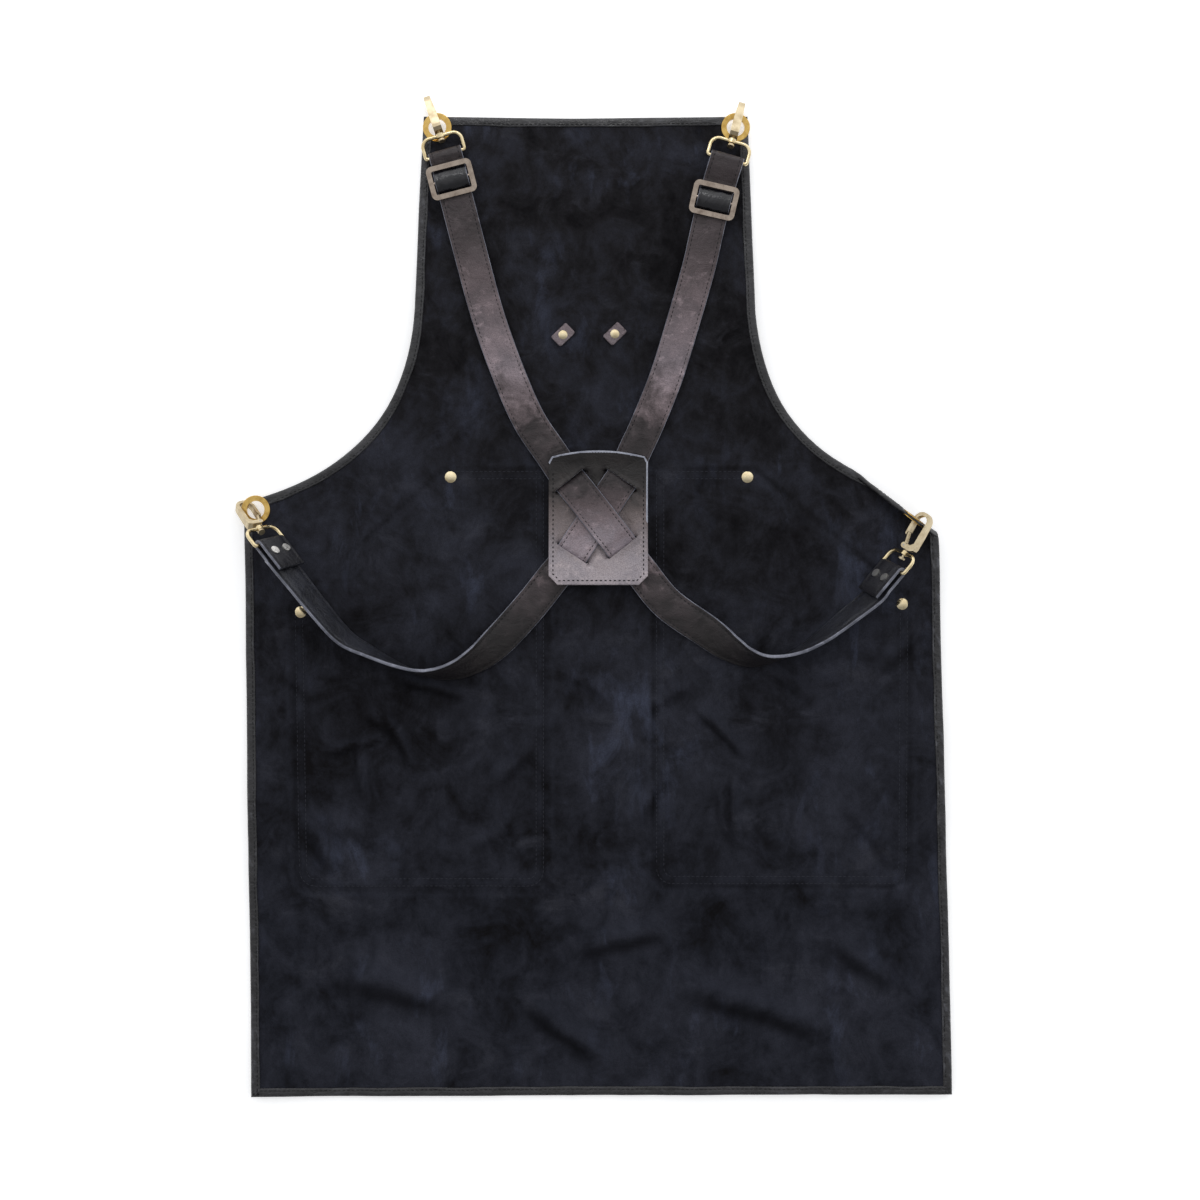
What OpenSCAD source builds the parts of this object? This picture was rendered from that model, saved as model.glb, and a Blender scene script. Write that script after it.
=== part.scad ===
// Leather welding apron with a cross-back harness, laid flat with its inner side up.
// +X is towards the right of the bib seen from the inner side, +Y runs from the hem to the
// bib, +Z is up. The origin is on the surface the apron lies on, under its middle.

/* [Panel] */
// Width of the hem
hem_w = 612; // [600:1:620]
// Distance from the hem to the top of the bib
apron_h = 855; // [850:1:860]
// Width of the bib along its top edge
bib_w = 282; // [276:1:288]
// Thickness of the apron hide
hide_t = 2; // [1.8:0.1:2.2]
// Height of the hide's front face above the surface it lies on
hide_z = 7.6; // [7.4:0.1:7.8]

/* [Edge binding] */
// Width of the binding seen from either face
binding_w = 8; // [6:0.5:10]
// Thickness of the binding leather
binding_t = 1; // [0.8:0.1:1]

/* [Grommets] */
// Radius of the grommet hole
hole_r = 7.75; // [7.5:0.05:8]
// Outer radius of the grommet flange
flange_r = 12.5; // [12:0.1:12.5]
// Thickness of each grommet flange
flange_t = 0.8; // [0.7:0.05:0.8]

/* [Harness] */
// Width of the straps
strap_w = 29; // [27:0.5:29]
// Thickness of the straps
strap_t = 3; // [2.6:0.1:3]
// Width of the back patch
patch_w = 86; // [84:1:90]
// Height of the back patch
patch_h = 116; // [114:1:120]

/* [Pockets] */
// Thickness of the pocket leather
pocket_t = 1.6; // [1.4:0.1:1.8]
// Width of the sewn seam along the pocket edges
seam_w = 3; // [2.5:0.5:4]
// Radius of the pockets' rounded lower corners
pocket_corner_r = 16; // [10:1:20]

/* [Hooks and rings] */
// Diameter of the ring wire
ring_wire = 3.2; // [3:0.1:3.2]
// Inner width of the hook's loop
hook_gap = 10.3; // [10.2:0.1:10.5]
// Thickness of the hook's arm
hook_t = 3.2; // [3:0.1:3.3]
// Width of the hook's back
hook_w = 7.4; // [7:0.1:7.6]

/* [Hidden] */
$fn = 48;
tiny = 0.01;
hide_top = hide_z + hide_t;
hide_mid = hide_z + hide_t / 2;
edge_steps = 12;

// ---- Vectors and frames -------------------------------------------------------------

function unit(v) = v / norm(v);
function mix(a, b, t) = a * (1 - t) + b * t;

// Axes of a frame that is turned by yaw, tipped nose-down by pitch and rolled about its x.
function frame_x(yaw, pitch) = [cos(yaw) * cos(pitch), sin(yaw) * cos(pitch), -sin(pitch)];
function frame_y(yaw, pitch, roll) =
    [-sin(yaw), cos(yaw), 0] * cos(roll)
    + [cos(yaw) * sin(pitch), sin(yaw) * sin(pitch), cos(pitch)] * sin(roll);
function frame_z(yaw, pitch, roll) = cross(frame_x(yaw, pitch), frame_y(yaw, pitch, roll));

module at_frame(place, yaw, pitch, roll) {
    translate(place) rotate([0, 0, yaw]) rotate([0, pitch, 0]) rotate([roll, 0, 0]) children();
}

// ---- Outline of the apron, counter-clockwise from the lower left corner --------------

hem_mid_x = 5;
hem_y = -434;
top_y = hem_y + apron_h;
bib_mid_x = -9;
hem_left = [hem_mid_x - hem_w / 2, hem_y];
hem_right = [hem_mid_x + hem_w / 2, hem_y + 2];
waist_left = [-306.5, 85];
waist_right = [298, 92];
side_mid_left = [-304, -174];
side_mid_right = [305, -190];
bib_left = [bib_mid_x - bib_w / 2, top_y];
bib_right = [bib_mid_x + bib_w / 2, top_y];
bib_side_left = [-158, 254];
bib_side_right = [139, 250];
armhole_pull_left = [-165, 122];
armhole_pull_right = [152, 112];

function bow(a, b, c, t) = mix(mix(a, b, t), mix(b, c, t), t);
function armhole(from, pull, to) = [for (i = [0:edge_steps]) bow(from, pull, to, i / edge_steps)];

HEM = [hem_left, hem_right];
SIDE_RIGHT = [hem_right, side_mid_right, waist_right];
ARMHOLE_RIGHT = concat(armhole(waist_right, armhole_pull_right, bib_side_right), [bib_right]);
TOP = [bib_right, bib_left];
ARMHOLE_LEFT = concat([bib_left], armhole(bib_side_left, armhole_pull_left, waist_left));
SIDE_LEFT = [waist_left, side_mid_left, hem_left];

// Joins runs of points that share their end points.
function tail(run) = [for (i = [1:len(run) - 1]) run[i]];
OUTLINE = concat([hem_left], tail(HEM), tail(SIDE_RIGHT), tail(ARMHOLE_RIGHT), tail(TOP),
    tail(ARMHOLE_LEFT), [side_mid_left]);

// Moves each point of a counter-clockwise outline inwards by d, along its mitre.
function inward(a, b) = let (t = unit(b - a)) [-t[1], t[0]];
function inset(run, d) = let (n = len(run)) [
    for (i = [0:n - 1])
        let (p = inward(run[(i + n - 1) % n], run[i]), q = inward(run[i], run[(i + 1) % n]))
            run[i] + (p + q) * d / (1 + p * q)
];
function starts_at(run, i) = norm(OUTLINE[i] - run[0]) < tiny;
function first_of(run) = [for (i = [0:len(OUTLINE) - 1]) if (starts_at(run, i)) i][0];
function reversed(run) = [for (i = [len(run) - 1:-1:0]) run[i]];
function along(run, d) = let (all = inset(OUTLINE, d), f = first_of(run))
    [for (i = [0:len(run) - 1]) all[(f + i) % len(OUTLINE)]];

// ---- Curled right waist corner ---------------------------------------------------------

curl_at = [276.4, 71.6];
curl_dir = -36.7;
curl_angle = 100;
curl_lap = 1.6;
binding_gap = 2.4;

// Stands the right waist corner up along the curl line. The two parts lap a little.
module lift_corner() {
    translate([curl_at[0], curl_at[1], hide_mid]) rotate([0, 0, curl_dir]) rotate([curl_angle, 0, 0])
        rotate([0, 0, -curl_dir]) translate([-curl_at[0], -curl_at[1], -hide_mid]) children();
}

module beyond_curl(lap) {
    translate([curl_at[0], curl_at[1], -50]) rotate([0, 0, curl_dir]) translate([-90, -lap, 0])
        cube([160, 120, 150]);
}

module curled() {
    difference() {
        children();
        beyond_curl(-curl_lap);
    }
    lift_corner() intersection() {
        children();
        beyond_curl(curl_lap);
    }
}

// ---- Places of the hardware ----------------------------------------------------------

GROMMETS = [[-138.1, 411.2], [121.5, 411.2], [-296.1, 78.5], [285.1, 83.2]];
// Direction of each grommet's outer corner, less 45 degrees.
CORNER_TURN = [90, 0, 103, -11];
POCKET_RIVETS = [[-257, -10.5], [-126.5, 107], [266.5, -3.5], [131.8, 107]];
TAB_RIVETS = [[-28.7, 230.6], [16.4, 231.4]];
tab_turn = 44;

// Hooks: swivel point, then yaw, nose-down pitch and roll of the hook.
HOOK_TL = [[-134.9, 402.2, 15.9], 109.5, 14.2, 0];
HOOK_TR = [[117.6, 396.6, 18.9], 75, 19, 0];
HOOK_SL = [[-289.4, 61.4, 27.3], 130.9, 37.7, -48.2];
HOOK_SR = [[265.4, 40.1, 26.3], 61, -7, 53.5];
// Rings: yaw, pitch and roll of each ring about its hook's swivel point.
RING_TL = [106, -1.2, 0];
RING_TR = [74, 6, 0];
RING_SL = [130, 15, -124];
RING_SR = [50, 2, 120];

// Distance from the swivel point to the bar that the strap wraps.
ring_reach = 16.8;
ring_half = 17.4;
wrap_r = ring_wire / 2 + 0.15 + strap_t / 2;

// Slides: middle of the frame's underside, then yaw and pitch.
SLIDE_L = [[-124.9, 363.6, 18.2], 104.5, -5];
SLIDE_R = [[102.2, 345.7, 17.9], 77.1, -3.5];
slide_w = 40;
slide_l = 29;
slide_t = 2.6;
window_w = 31.4;
window_l = 20.4;

// ---- Straps: a flat band swept along a route -------------------------------------------

// A station is [centre, across, outward]: the band's middle, width direction and face normal.
function bar_of(hook, ring) = hook[0] - frame_x(ring[0], ring[1]) * ring_reach;
function wrap_point(hook, ring, a) = let (
    e = frame_x(ring[0], ring[1]),
    up = frame_z(ring[0], ring[1], ring[2]),
    out = up * cos(a) + e * sin(a)
) [bar_of(hook, ring) + out * wrap_r, out];
function wrap(hook, ring, from, to, side) = [
    for (i = [0:8])
        let (w = wrap_point(hook, ring, mix(from, to, i / 8)))
            [w[0], frame_y(ring[0], ring[1], ring[2]) * side, w[1]]
];

function smooth(a, b, c, d, t) =
    (b * 2 + (c - a) * t + (a * 2 - b * 5 + c * 4 - d) * t * t + (b * 3 - a - c * 3 + d) * t * t * t) / 2;
route_steps = 5;
function route_at(route, i, t) = let (n = len(route) - 1)
    smooth(route[max(i - 1, 0)], route[i], route[min(i + 1, n)], route[min(i + 2, n)], t);
function fine(route) = concat(
    [for (i = [0:len(route) - 2]) for (j = [0:route_steps - 1]) route_at(route, i, j / route_steps)],
    [route[len(route) - 1]]);
function place_of(p) = [p[0], p[1], p[2]];
function band(route) = let (f = fine(route), n = len(f) - 1) [
    for (i = [1:n - 1])
        let (
            t = unit(place_of(f[i + 1]) - place_of(f[i - 1])),
            level = unit([-t[1], t[0], 0]),
            across = level * cos(f[i][3]) + cross(t, level) * sin(f[i][3])
        ) [place_of(f[i]), across, cross(t, across)]
];

module sweep(stations) {
    corners = [[-1, -1], [1, -1], [1, 1], [-1, 1]];
    n = len(stations);
    points = [
        for (s = stations) for (c = corners)
            s[0] + s[1] * c[0] * strap_w / 2 + s[2] * c[1] * strap_t / 2
    ];
    sides = [
        for (i = [0:n - 2]) for (j = [0:3]) for (half = [0, 1])
            let (a = 4 * i + j, b = 4 * i + (j + 1) % 4)
                half == 0 ? [a, a + 4, b + 4] : [a, b + 4, b]
    ];
    first = [[0, 1, 2], [0, 2, 3]];
    last = [[4 * n - 4, 4 * n - 2, 4 * n - 3], [4 * n - 4, 4 * n - 1, 4 * n - 2]];
    polyhedron(points = points, faces = concat(sides, first, last));
}

// Height of a strap's middle where it lies on the hide, stands on edge, dips into a slit
// of the back patch, lies on the patch, and crosses over the other strap.
low_z = 11.6;
edge_z = 24.4;
on_patch_z = 17.1;
over_z = 20.5;

// Points of each route: x, y, height and bank in degrees.
ROUTE_L = [
    [-129.8, 384.2, 18.8, 0], [-129, 381, 17.6, 0], [-128, 377.3, 16.6, 0],
    [-124.9, 363.6, 15.9, 0], [-117.4, 334.6, 14.2, 0],
    [-109.9, 305.5, 12.7, 0], [-94, 247, 12, 0], [-75, 194, low_z, 0],
    [-58, 156, low_z, 0], [-38, 126, low_z, 0], [-26.2, 108.2, low_z, 0],
    [-18.8, 98.8, on_patch_z, 0], [-13.6, 92.2, over_z, 0], [0.3, 74.5, over_z, 0],
    [14.1, 56.8, over_z, 0], [19.3, 50.2, on_patch_z, 0], [26.7, 40.8, low_z, 0],
    [39, 25, low_z, 0], [62, -3, low_z + 0.5, 2], [96, -27, 15.6, 15],
    [117, -42, 20.2, 40], [134, -50, 23, 60], [152, -51, edge_z, 78],
    [172, -45, edge_z, 92], [192, -34, edge_z, 104], [211, -19, edge_z, 113]
];
ROUTE_R = [
    [110.6, 372.8, 22.3, 0], [108.5, 366.1, 19, 0], [106.8, 360.4, 16.9, 0], [102.2, 345.7, 15.8, 0],
    [95.5, 316.5, 14.2, 0], [88.8, 287.2, 12.7, 0], [75, 239, 12, 0],
    [61, 194, low_z, 0], [45, 154, low_z, 0], [33, 128, low_z, 0],
    [25.3, 109.5, low_z, 0], [18.7, 99.5, on_patch_z, 0], [0.8, 72.5, on_patch_z, 0],
    [-17.2, 45.5, on_patch_z, 0], [-23.8, 35.5, low_z, 0],
    [-37, 20, low_z, 0], [-56, -4, low_z + 0.5, -2], [-82, -33, 15.6, -15],
    [-103, -51, 20.2, -40], [-124, -61, 23, -60], [-147, -63, edge_z, -78],
    [-171, -56, edge_z, -92], [-196, -44, edge_z + 0.6, -104], [-221, -28, edge_z + 1.4, -115]
];

function top_end(hook, ring, under) = concat(
    [for (p = under) [p, -frame_y(ring[0], ring[1], ring[2]), [0, 0, -1]]],
    wrap(hook, ring, 180, 0, -1));
fold_len = 30;
function side_end(hook, ring) = let (e = frame_x(ring[0], ring[1]), w = wrap(hook, ring, 0, 180, 1))
    concat(w, [[w[8][0] - e * fold_len, w[8][1], w[8][2]]]);
function lead(end, back, bank) =
    concat(wrap_point(end[0], end[1], 0)[0] - frame_x(end[1][0], end[1][1]) * back, [bank]);
function with_ends(route, top, side) = concat(
    [lead(top, 0, 0)], route,
    [for (back = [30, 18, 8, 0]) lead(side, back, side[1][2])]);
function strap_path(route, top, side, under) = concat(
    top_end(top[0], top[1], under),
    band(with_ends(route, top, side)),
    side_end(side[0], side[1]));

// ---- Panel, binding and pockets ----------------------------------------------------------

module grommet_holes(r) {
    for (g = GROMMETS) translate([g[0], g[1], -1]) cylinder(r = r, h = 60);
}

module hide() {
    translate([0, 0, hide_z]) linear_extrude(hide_t) polygon(inset(OUTLINE, binding_t));
}

module apron_panel() {
    color("#15181f") difference() {
        curled() difference() {
            hide();
            grommet_holes(hole_r + 0.65);
        }
        for (r = concat(POCKET_RIVETS, TAB_RIVETS))
            translate([r[0], r[1], 0]) cylinder(r = rivet_r, h = 20);
    }
}

module binding_blank(run) {
    translate([0, 0, hide_z - binding_t]) linear_extrude(hide_t + 2 * binding_t)
        polygon(concat(run, reversed(along(run, binding_w))));
}

// The binding stops at each grommet's flange, and the corner outside the grommet is bare.
module binding_ends() {
    grommet_holes(flange_r + 0.1);
    for (i = [0:3]) translate([GROMMETS[i][0], GROMMETS[i][1], -1])
        rotate([0, 0, CORNER_TURN[i]]) cube([30, 30, 60]);
}

module flat_binding(run) {
    color("#1c1a1d") difference() {
        binding_blank(run);
        hide();
        binding_ends();
    }
}

// The binding of the curled corner: a flat length and a lifted one, with a gap at the curl.
module curled_binding(run) {
    color("#1c1a1d") {
        difference() {
            binding_blank(run);
            hide();
            binding_ends();
            beyond_curl(binding_gap);
        }
        lift_corner() difference() {
            intersection() {
                binding_blank(run);
                beyond_curl(-binding_gap);
            }
            hide();
            binding_ends();
        }
    }
}

module binding_hem() { flat_binding(HEM); }
module binding_side_left() { flat_binding(SIDE_LEFT); }
module binding_side_right() { curled_binding(SIDE_RIGHT); }
module binding_armhole_left() { flat_binding(ARMHOLE_LEFT); }
module binding_armhole_right() { curled_binding(ARMHOLE_RIGHT); }
module binding_top() { flat_binding(TOP); }

// Pocket outlines, counter-clockwise, with the slanted mouth between the two rivets.
function corner_arc(c, from) =
    [for (i = [0:6]) c + pocket_corner_r * [cos(from + 15 * i), sin(from + 15 * i)]];
POCKET_L = concat(
    corner_arc([-260 + pocket_corner_r, -251 + pocket_corner_r], 180),
    corner_arc([-43.5 - pocket_corner_r, -251 + pocket_corner_r], 270),
    [[-43.5, 114], [-133, 114], [-264, -4]]);
POCKET_R = concat(
    corner_arc([50.5 + pocket_corner_r, -249 + pocket_corner_r], 180),
    corner_arc([272 - pocket_corner_r, -249 + pocket_corner_r], 270),
    [[273.5, 3], [139, 114], [50.5, 114]]);
rivet_r = 1.5;
rivet_cap_r = 5;
boss_r = 6.5;

module pocket(outline, mouth_a, mouth_b) {
    run = mouth_b - mouth_a;
    turn = atan2(run[1], run[0]);
    color("#232022") difference() {
        union() {
            linear_extrude(pocket_t) polygon(outline);
            difference() {
                linear_extrude(hide_z) polygon(outline);
                translate([0, 0, pocket_t]) linear_extrude(hide_z) polygon(inset(outline, seam_w));
                translate([mouth_a[0], mouth_a[1], pocket_t]) rotate([0, 0, turn])
                    translate([1, -14, 0]) cube([norm(run) - 2, 28, hide_z]);
            }
            for (m = [mouth_a, mouth_b]) translate([m[0], m[1], 0]) cylinder(r = boss_r, h = hide_z);
        }
        for (m = [mouth_a, mouth_b]) translate([m[0], m[1], -1]) {
            cylinder(r = rivet_r, h = 20);
            cylinder(r = rivet_cap_r + 0.2, h = 2.6);
        }
    }
}

module pocket_left() { pocket(POCKET_L, POCKET_RIVETS[0], POCKET_RIVETS[1]); }
module pocket_right() { pocket(POCKET_R, POCKET_RIVETS[2], POCKET_RIVETS[3]); }

// A capped rivet: a domed cap at top_z, a shank, and a flat cap under bottom_z.
module rivet(cap_r, cap_h, top_z, bottom_z) {
    dome_r = (cap_r * cap_r + cap_h * cap_h) / (2 * cap_h);
    translate([0, 0, top_z]) intersection() {
        translate([0, 0, cap_h - dome_r]) sphere(r = dome_r);
        cylinder(r = cap_r, h = cap_h + 1);
    }
    translate([0, 0, bottom_z]) cylinder(r = rivet_r, h = top_z - bottom_z + tiny);
    translate([0, 0, bottom_z - 1]) cylinder(r = cap_r, h = 1);
}

module pocket_rivets() {
    color("#c9a86a") for (r = POCKET_RIVETS)
        translate([r[0], r[1], 0]) rivet(rivet_cap_r, 2, hide_top, 1.6);
}

// ---- Tabs and badge on the bib -------------------------------------------------------------

tab_l = 18;
tab_w = 12;
tab_t = 1.6;
badge_w = 62;
badge_h = 20;
badge_t = 1.5;

module bib_tab(place) {
    color("#2a2024") translate([place[0], place[1], hide_top]) difference() {
        rotate([0, 0, tab_turn]) translate([-tab_l / 2, -tab_w / 2, 0]) cube([tab_l, tab_w, tab_t]);
        translate([0, 0, -1]) cylinder(r = rivet_r, h = 5);
    }
}

module bib_tab_left() { bib_tab(TAB_RIVETS[0]); }
module bib_tab_right() { bib_tab(TAB_RIVETS[1]); }

module bib_tab_rivets() {
    color("#c9a86a") for (r = TAB_RIVETS) translate([r[0], r[1], 0])
        rivet(4, 1.6, hide_top + tab_t, hide_z - badge_t);
}

module front_badge() {
    middle = (TAB_RIVETS[0] + TAB_RIVETS[1]) / 2;
    color("#2a2024") difference() {
        translate([middle[0] - badge_w / 2, middle[1] - badge_h / 2, hide_z - badge_t])
            cube([badge_w, badge_h, badge_t]);
        for (r = TAB_RIVETS) translate([r[0], r[1], 0]) cylinder(r = rivet_r, h = 20);
    }
}

// ---- Grommets ----------------------------------------------------------------------------------

barrel_r = hole_r + 0.6;
curl_rim_r = 9.3;

// Eyelet of a grommet: rolled flange on top, barrel through the hide, rim curled over below.
module eyelet() {
    lip = flange_t / 2;
    translate([0, 0, hide_top]) rotate_extrude() {
        translate([hole_r + 0.3, 0]) square([flange_r - lip - hole_r - 0.3, flange_t]);
        translate([flange_r - lip, lip]) circle(r = lip, $fn = 24);
    }
    translate([0, 0, hide_z - flange_t]) difference() {
        cylinder(r = barrel_r, h = hide_t + 2 * flange_t);
        translate([0, 0, -1]) cylinder(r = hole_r, h = hide_t + 2 * flange_t + 2);
    }
    translate([0, 0, hide_z - flange_t]) difference() {
        cylinder(r = curl_rim_r, h = flange_t);
        translate([0, 0, -1]) cylinder(r = hole_r + 0.3, h = flange_t + 2);
    }
}

module washer() {
    translate([0, 0, hide_z - flange_t]) difference() {
        cylinder(r = flange_r, h = flange_t);
        translate([0, 0, -1]) cylinder(r = curl_rim_r, h = flange_t + 2);
    }
}

module grommet(i) {
    color("#b98a35") translate([GROMMETS[i][0], GROMMETS[i][1], 0]) eyelet();
}

module grommet_top_left() { grommet(0); }
module grommet_top_right() { grommet(1); }
module grommet_side_left() { grommet(2); }
module grommet_side_right() { lift_corner() grommet(3); }

module grommet_washers() {
    color("#b98a35") {
        for (i = [0:2]) translate([GROMMETS[i][0], GROMMETS[i][1], 0]) washer();
        lift_corner() translate([GROMMETS[3][0], GROMMETS[3][1], 0]) washer();
    }
}

// ---- Harness ---------------------------------------------------------------------------------------

patch_mid = [2, 71];
patch_z = 13.2;
patch_t = 2.2;
slit_l = 32;
slit_w = 15;
// Slits: middle, then direction of the strap that passes.
SLITS = [
    [[-22.5, 103.5], -51.9], [[23, 45.5], -51.9],
    [[22, 104.5], -123.6], [[-20.5, 40.5], -123.6]
];
patch_bow = 5;
patch_chamfer = 8;

module back_patch() {
    half = patch_w / 2;
    low = -patch_h / 2;
    side_top = patch_h / 2 - patch_bow;
    top_edge = [for (i = [0:10]) let (u = 1 - i / 5) [half * 0.93 * u, side_top + patch_bow * (1 - u * u)]];
    outline = concat(
        [[-half + patch_chamfer, low], [half - patch_chamfer, low], [half, low + patch_chamfer],
        [half, side_top - 5]], top_edge, [[-half, side_top - 5], [-half, low + patch_chamfer]]);
    color("#2b2223") difference() {
        translate([patch_mid[0], patch_mid[1], patch_z]) linear_extrude(patch_t) polygon(outline);
        for (s = SLITS) translate([s[0][0], s[0][1], patch_z - 1]) rotate([0, 0, s[1]])
            translate([-slit_w / 2, -slit_l / 2, 0]) cube([slit_w, slit_l, patch_t + 2]);
    }
}

// Points of each strap's end under its slide, from the slide towards the ring.
UNDER_L = [[-124.9, 363.6, 12.6]];
UNDER_R = [[102.2, 345.7, 12.6], [106.8, 360.4, 13.6]];
END_RIVET_BACK = 11.4;
END_RIVET_ACROSS = 6.5;

module end_rivet_holes(hook, ring) {
    at_frame(bar_of(hook, ring), ring[0], ring[1], ring[2]) for (s = [-1, 1])
        translate([-END_RIVET_BACK, s * END_RIVET_ACROSS, -8]) cylinder(r = 1.2, h = 16);
}

module strap_left() {
    color("#2a2224") difference() {
        sweep(strap_path(ROUTE_L, [HOOK_TL, RING_TL], [HOOK_SR, RING_SR], UNDER_L));
        end_rivet_holes(HOOK_SR, RING_SR);
    }
}

module strap_right() {
    color("#2a2224") difference() {
        sweep(strap_path(ROUTE_R, [HOOK_TR, RING_TR], [HOOK_SL, RING_SL], UNDER_R));
        end_rivet_holes(HOOK_SL, RING_SL);
    }
}

// Small capped rivets through the folded side end of a strap.
module end_rivets(hook, ring) {
    face = wrap_r + strap_t / 2 + 0.12;
    at_frame(bar_of(hook, ring), ring[0], ring[1], ring[2]) for (s = [-1, 1])
        translate([-END_RIVET_BACK, s * END_RIVET_ACROSS, 0]) {
            cylinder(r = 1.05, h = 2 * face + tiny, center = true);
            translate([0, 0, -face - 1.1]) cylinder(r = 3.8, h = 1.1);
            translate([0, 0, face]) cylinder(r = 3.8, h = 0.8);
        }
}

module strap_end_rivets() {
    color("#8d8a84") {
        end_rivets(HOOK_SL, RING_SL);
        end_rivets(HOOK_SR, RING_SR);
    }
}

module at_slide(slide) {
    at_frame(slide[0], slide[1], slide[2], 0) children();
}

module rounded_plate(l, w, t, r) {
    hull() for (x = [-1, 1]) for (y = [-1, 1])
        translate([x * (l / 2 - r), y * (w / 2 - r), 0]) cylinder(r = r, h = t, $fn = 32);
}

module slide_frame(slide) {
    color("#9c927c") at_slide(slide) difference() {
        rounded_plate(slide_l, slide_w, slide_t, 5);
        translate([0, 0, -1]) rounded_plate(window_l, window_w, slide_t + 2, 1.5);
    }
}

slide_bar_r = 1.3;

module slide_bar(slide) {
    color("#9c927c") at_slide(slide) translate([0, 0, slide_t / 2]) rotate([90, 0, 0])
        cylinder(r = slide_bar_r, h = window_w, center = true);
}

hump_r = 10.9;
hump_drop = 5.5;
hump_t = 2.3;

module strap_hump(slide) {
    color("#2a2224") at_slide(slide) intersection() {
        translate([0, 0, -hump_drop]) rotate([90, 0, 0]) difference() {
            cylinder(r = hump_r, h = strap_w, center = true);
            cylinder(r = hump_r - hump_t, h = strap_w + 2, center = true);
        }
        translate([-15, -20, 0]) cube([30, 40, 20]);
    }
}

module slide_frame_left() { slide_frame(SLIDE_L); }
module slide_bar_left() { slide_bar(SLIDE_L); }
module strap_hump_left() { strap_hump(SLIDE_L); }
module slide_frame_right() { slide_frame(SLIDE_R); }
module slide_bar_right() { slide_bar(SLIDE_R); }
module strap_hump_right() { strap_hump(SLIDE_R); }

// ---- Rings ---------------------------------------------------------------------------------------------

shoulder_r = 7.5;
foot_r = 2;
boss_len = 3.6;
boss_bore = 2;

module wire_run(from, to) {
    d = to - from;
    translate([from[0], from[1], 0]) rotate([0, 0, atan2(d[1], d[0])]) rotate([0, 90, 0])
        cylinder(d = ring_wire, h = norm(d), $fn = 24);
}

module wire_bend(c, r, from, sweep_angle) {
    translate([c[0], c[1], 0]) rotate([0, 0, from]) rotate_extrude(angle = sweep_angle)
        translate([r, 0]) circle(d = ring_wire, $fn = 24);
}

// A D-shaped ring in its own frame: the swivel boss at the origin, the strap bar at -ring_reach.
module swivel_ring(hook, ring) {
    color("#b9a06a") at_frame(hook[0], ring[0], ring[1], ring[2]) difference() {
        union() {
            for (s = [-1, 1]) {
                wire_run([0, 0], [0, s * (ring_half - shoulder_r)]);
                wire_run([-shoulder_r, s * ring_half], [-ring_reach + foot_r, s * ring_half]);
                wire_run([-ring_reach, 0], [-ring_reach, s * (ring_half - foot_r)]);
            }
            wire_bend([-shoulder_r, ring_half - shoulder_r], shoulder_r, 0, 90);
            wire_bend([-shoulder_r, -ring_half + shoulder_r], shoulder_r, -90, 90);
            wire_bend([-ring_reach + foot_r, ring_half - foot_r], foot_r, 90, 90);
            wire_bend([-ring_reach + foot_r, -ring_half + foot_r], foot_r, 180, 90);
            rotate([0, 90, 0]) cylinder(r = 3.3, h = boss_len, center = true);
        }
        rotate([0, 90, 0]) cylinder(r = boss_bore, h = 12, center = true);
    }
}

module ring_top_left() { swivel_ring(HOOK_TL, RING_TL); }
module ring_top_right() { swivel_ring(HOOK_TR, RING_TR); }
module ring_side_left() { swivel_ring(HOOK_SL, RING_SL); }
module ring_side_right() { swivel_ring(HOOK_SR, RING_SR); }

// ---- Hooks -----------------------------------------------------------------------------------------------

// The hook lies along +x of its own frame with its back towards +z.
collar_x = 3.6;
collar_r = 3.6;
collar_l = 4.6;
bend_x = 30.7;
bend_mid_r = hook_gap / 2 + hook_t / 2;
pivot = [6.2, -3];
tip_x = 15.2;
notch_x = 18.3;
notch_z = -bend_mid_r;
arm_w = 4.4;
pin_r = 0.8;
gate_slot = 4.2;

module hook_side_view() {
    outer = bend_mid_r + hook_t / 2;
    inner = hook_gap / 2;
    difference() {
        union() {
            translate([bend_x, 0]) circle(r = outer);
            polygon([[collar_x, -2.5], [collar_x, 4.4], [5.4, outer - 0.6], [8, outer], [bend_x, outer],
                [bend_x, inner - 0.1], [11, inner - 0.1], [8.4, 2.6], [7.2, -2.5]]);
            translate([tip_x + 1, -outer]) square([bend_x - tip_x, hook_t]);
            translate([tip_x + hook_t / 2, -outer + hook_t / 2]) circle(r = hook_t / 2);
            translate(pivot) circle(r = 2.5);
        }
        translate([bend_x, 0]) circle(r = inner);
        translate([11, -inner]) square([bend_x - 11, 2 * inner]);
        translate([tip_x - 1, notch_z]) square([notch_x - tip_x + 1, 4]);
    }
}

module hook_end_view() {
    polygon([[-hook_w / 2, 12], [hook_w / 2, 12], [hook_w / 2, -5.6], [arm_w / 2, -6.4], [arm_w / 2, -12],
        [-arm_w / 2, -12], [-arm_w / 2, -6.4], [-hook_w / 2, -5.6]]);
}

module hook_top_view() {
    near = hook_w / 2;
    far = 2.6;
    polygon([[0, -near], [18, -near], [40, -far], [40, far], [18, near], [0, near]]);
}

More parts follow.
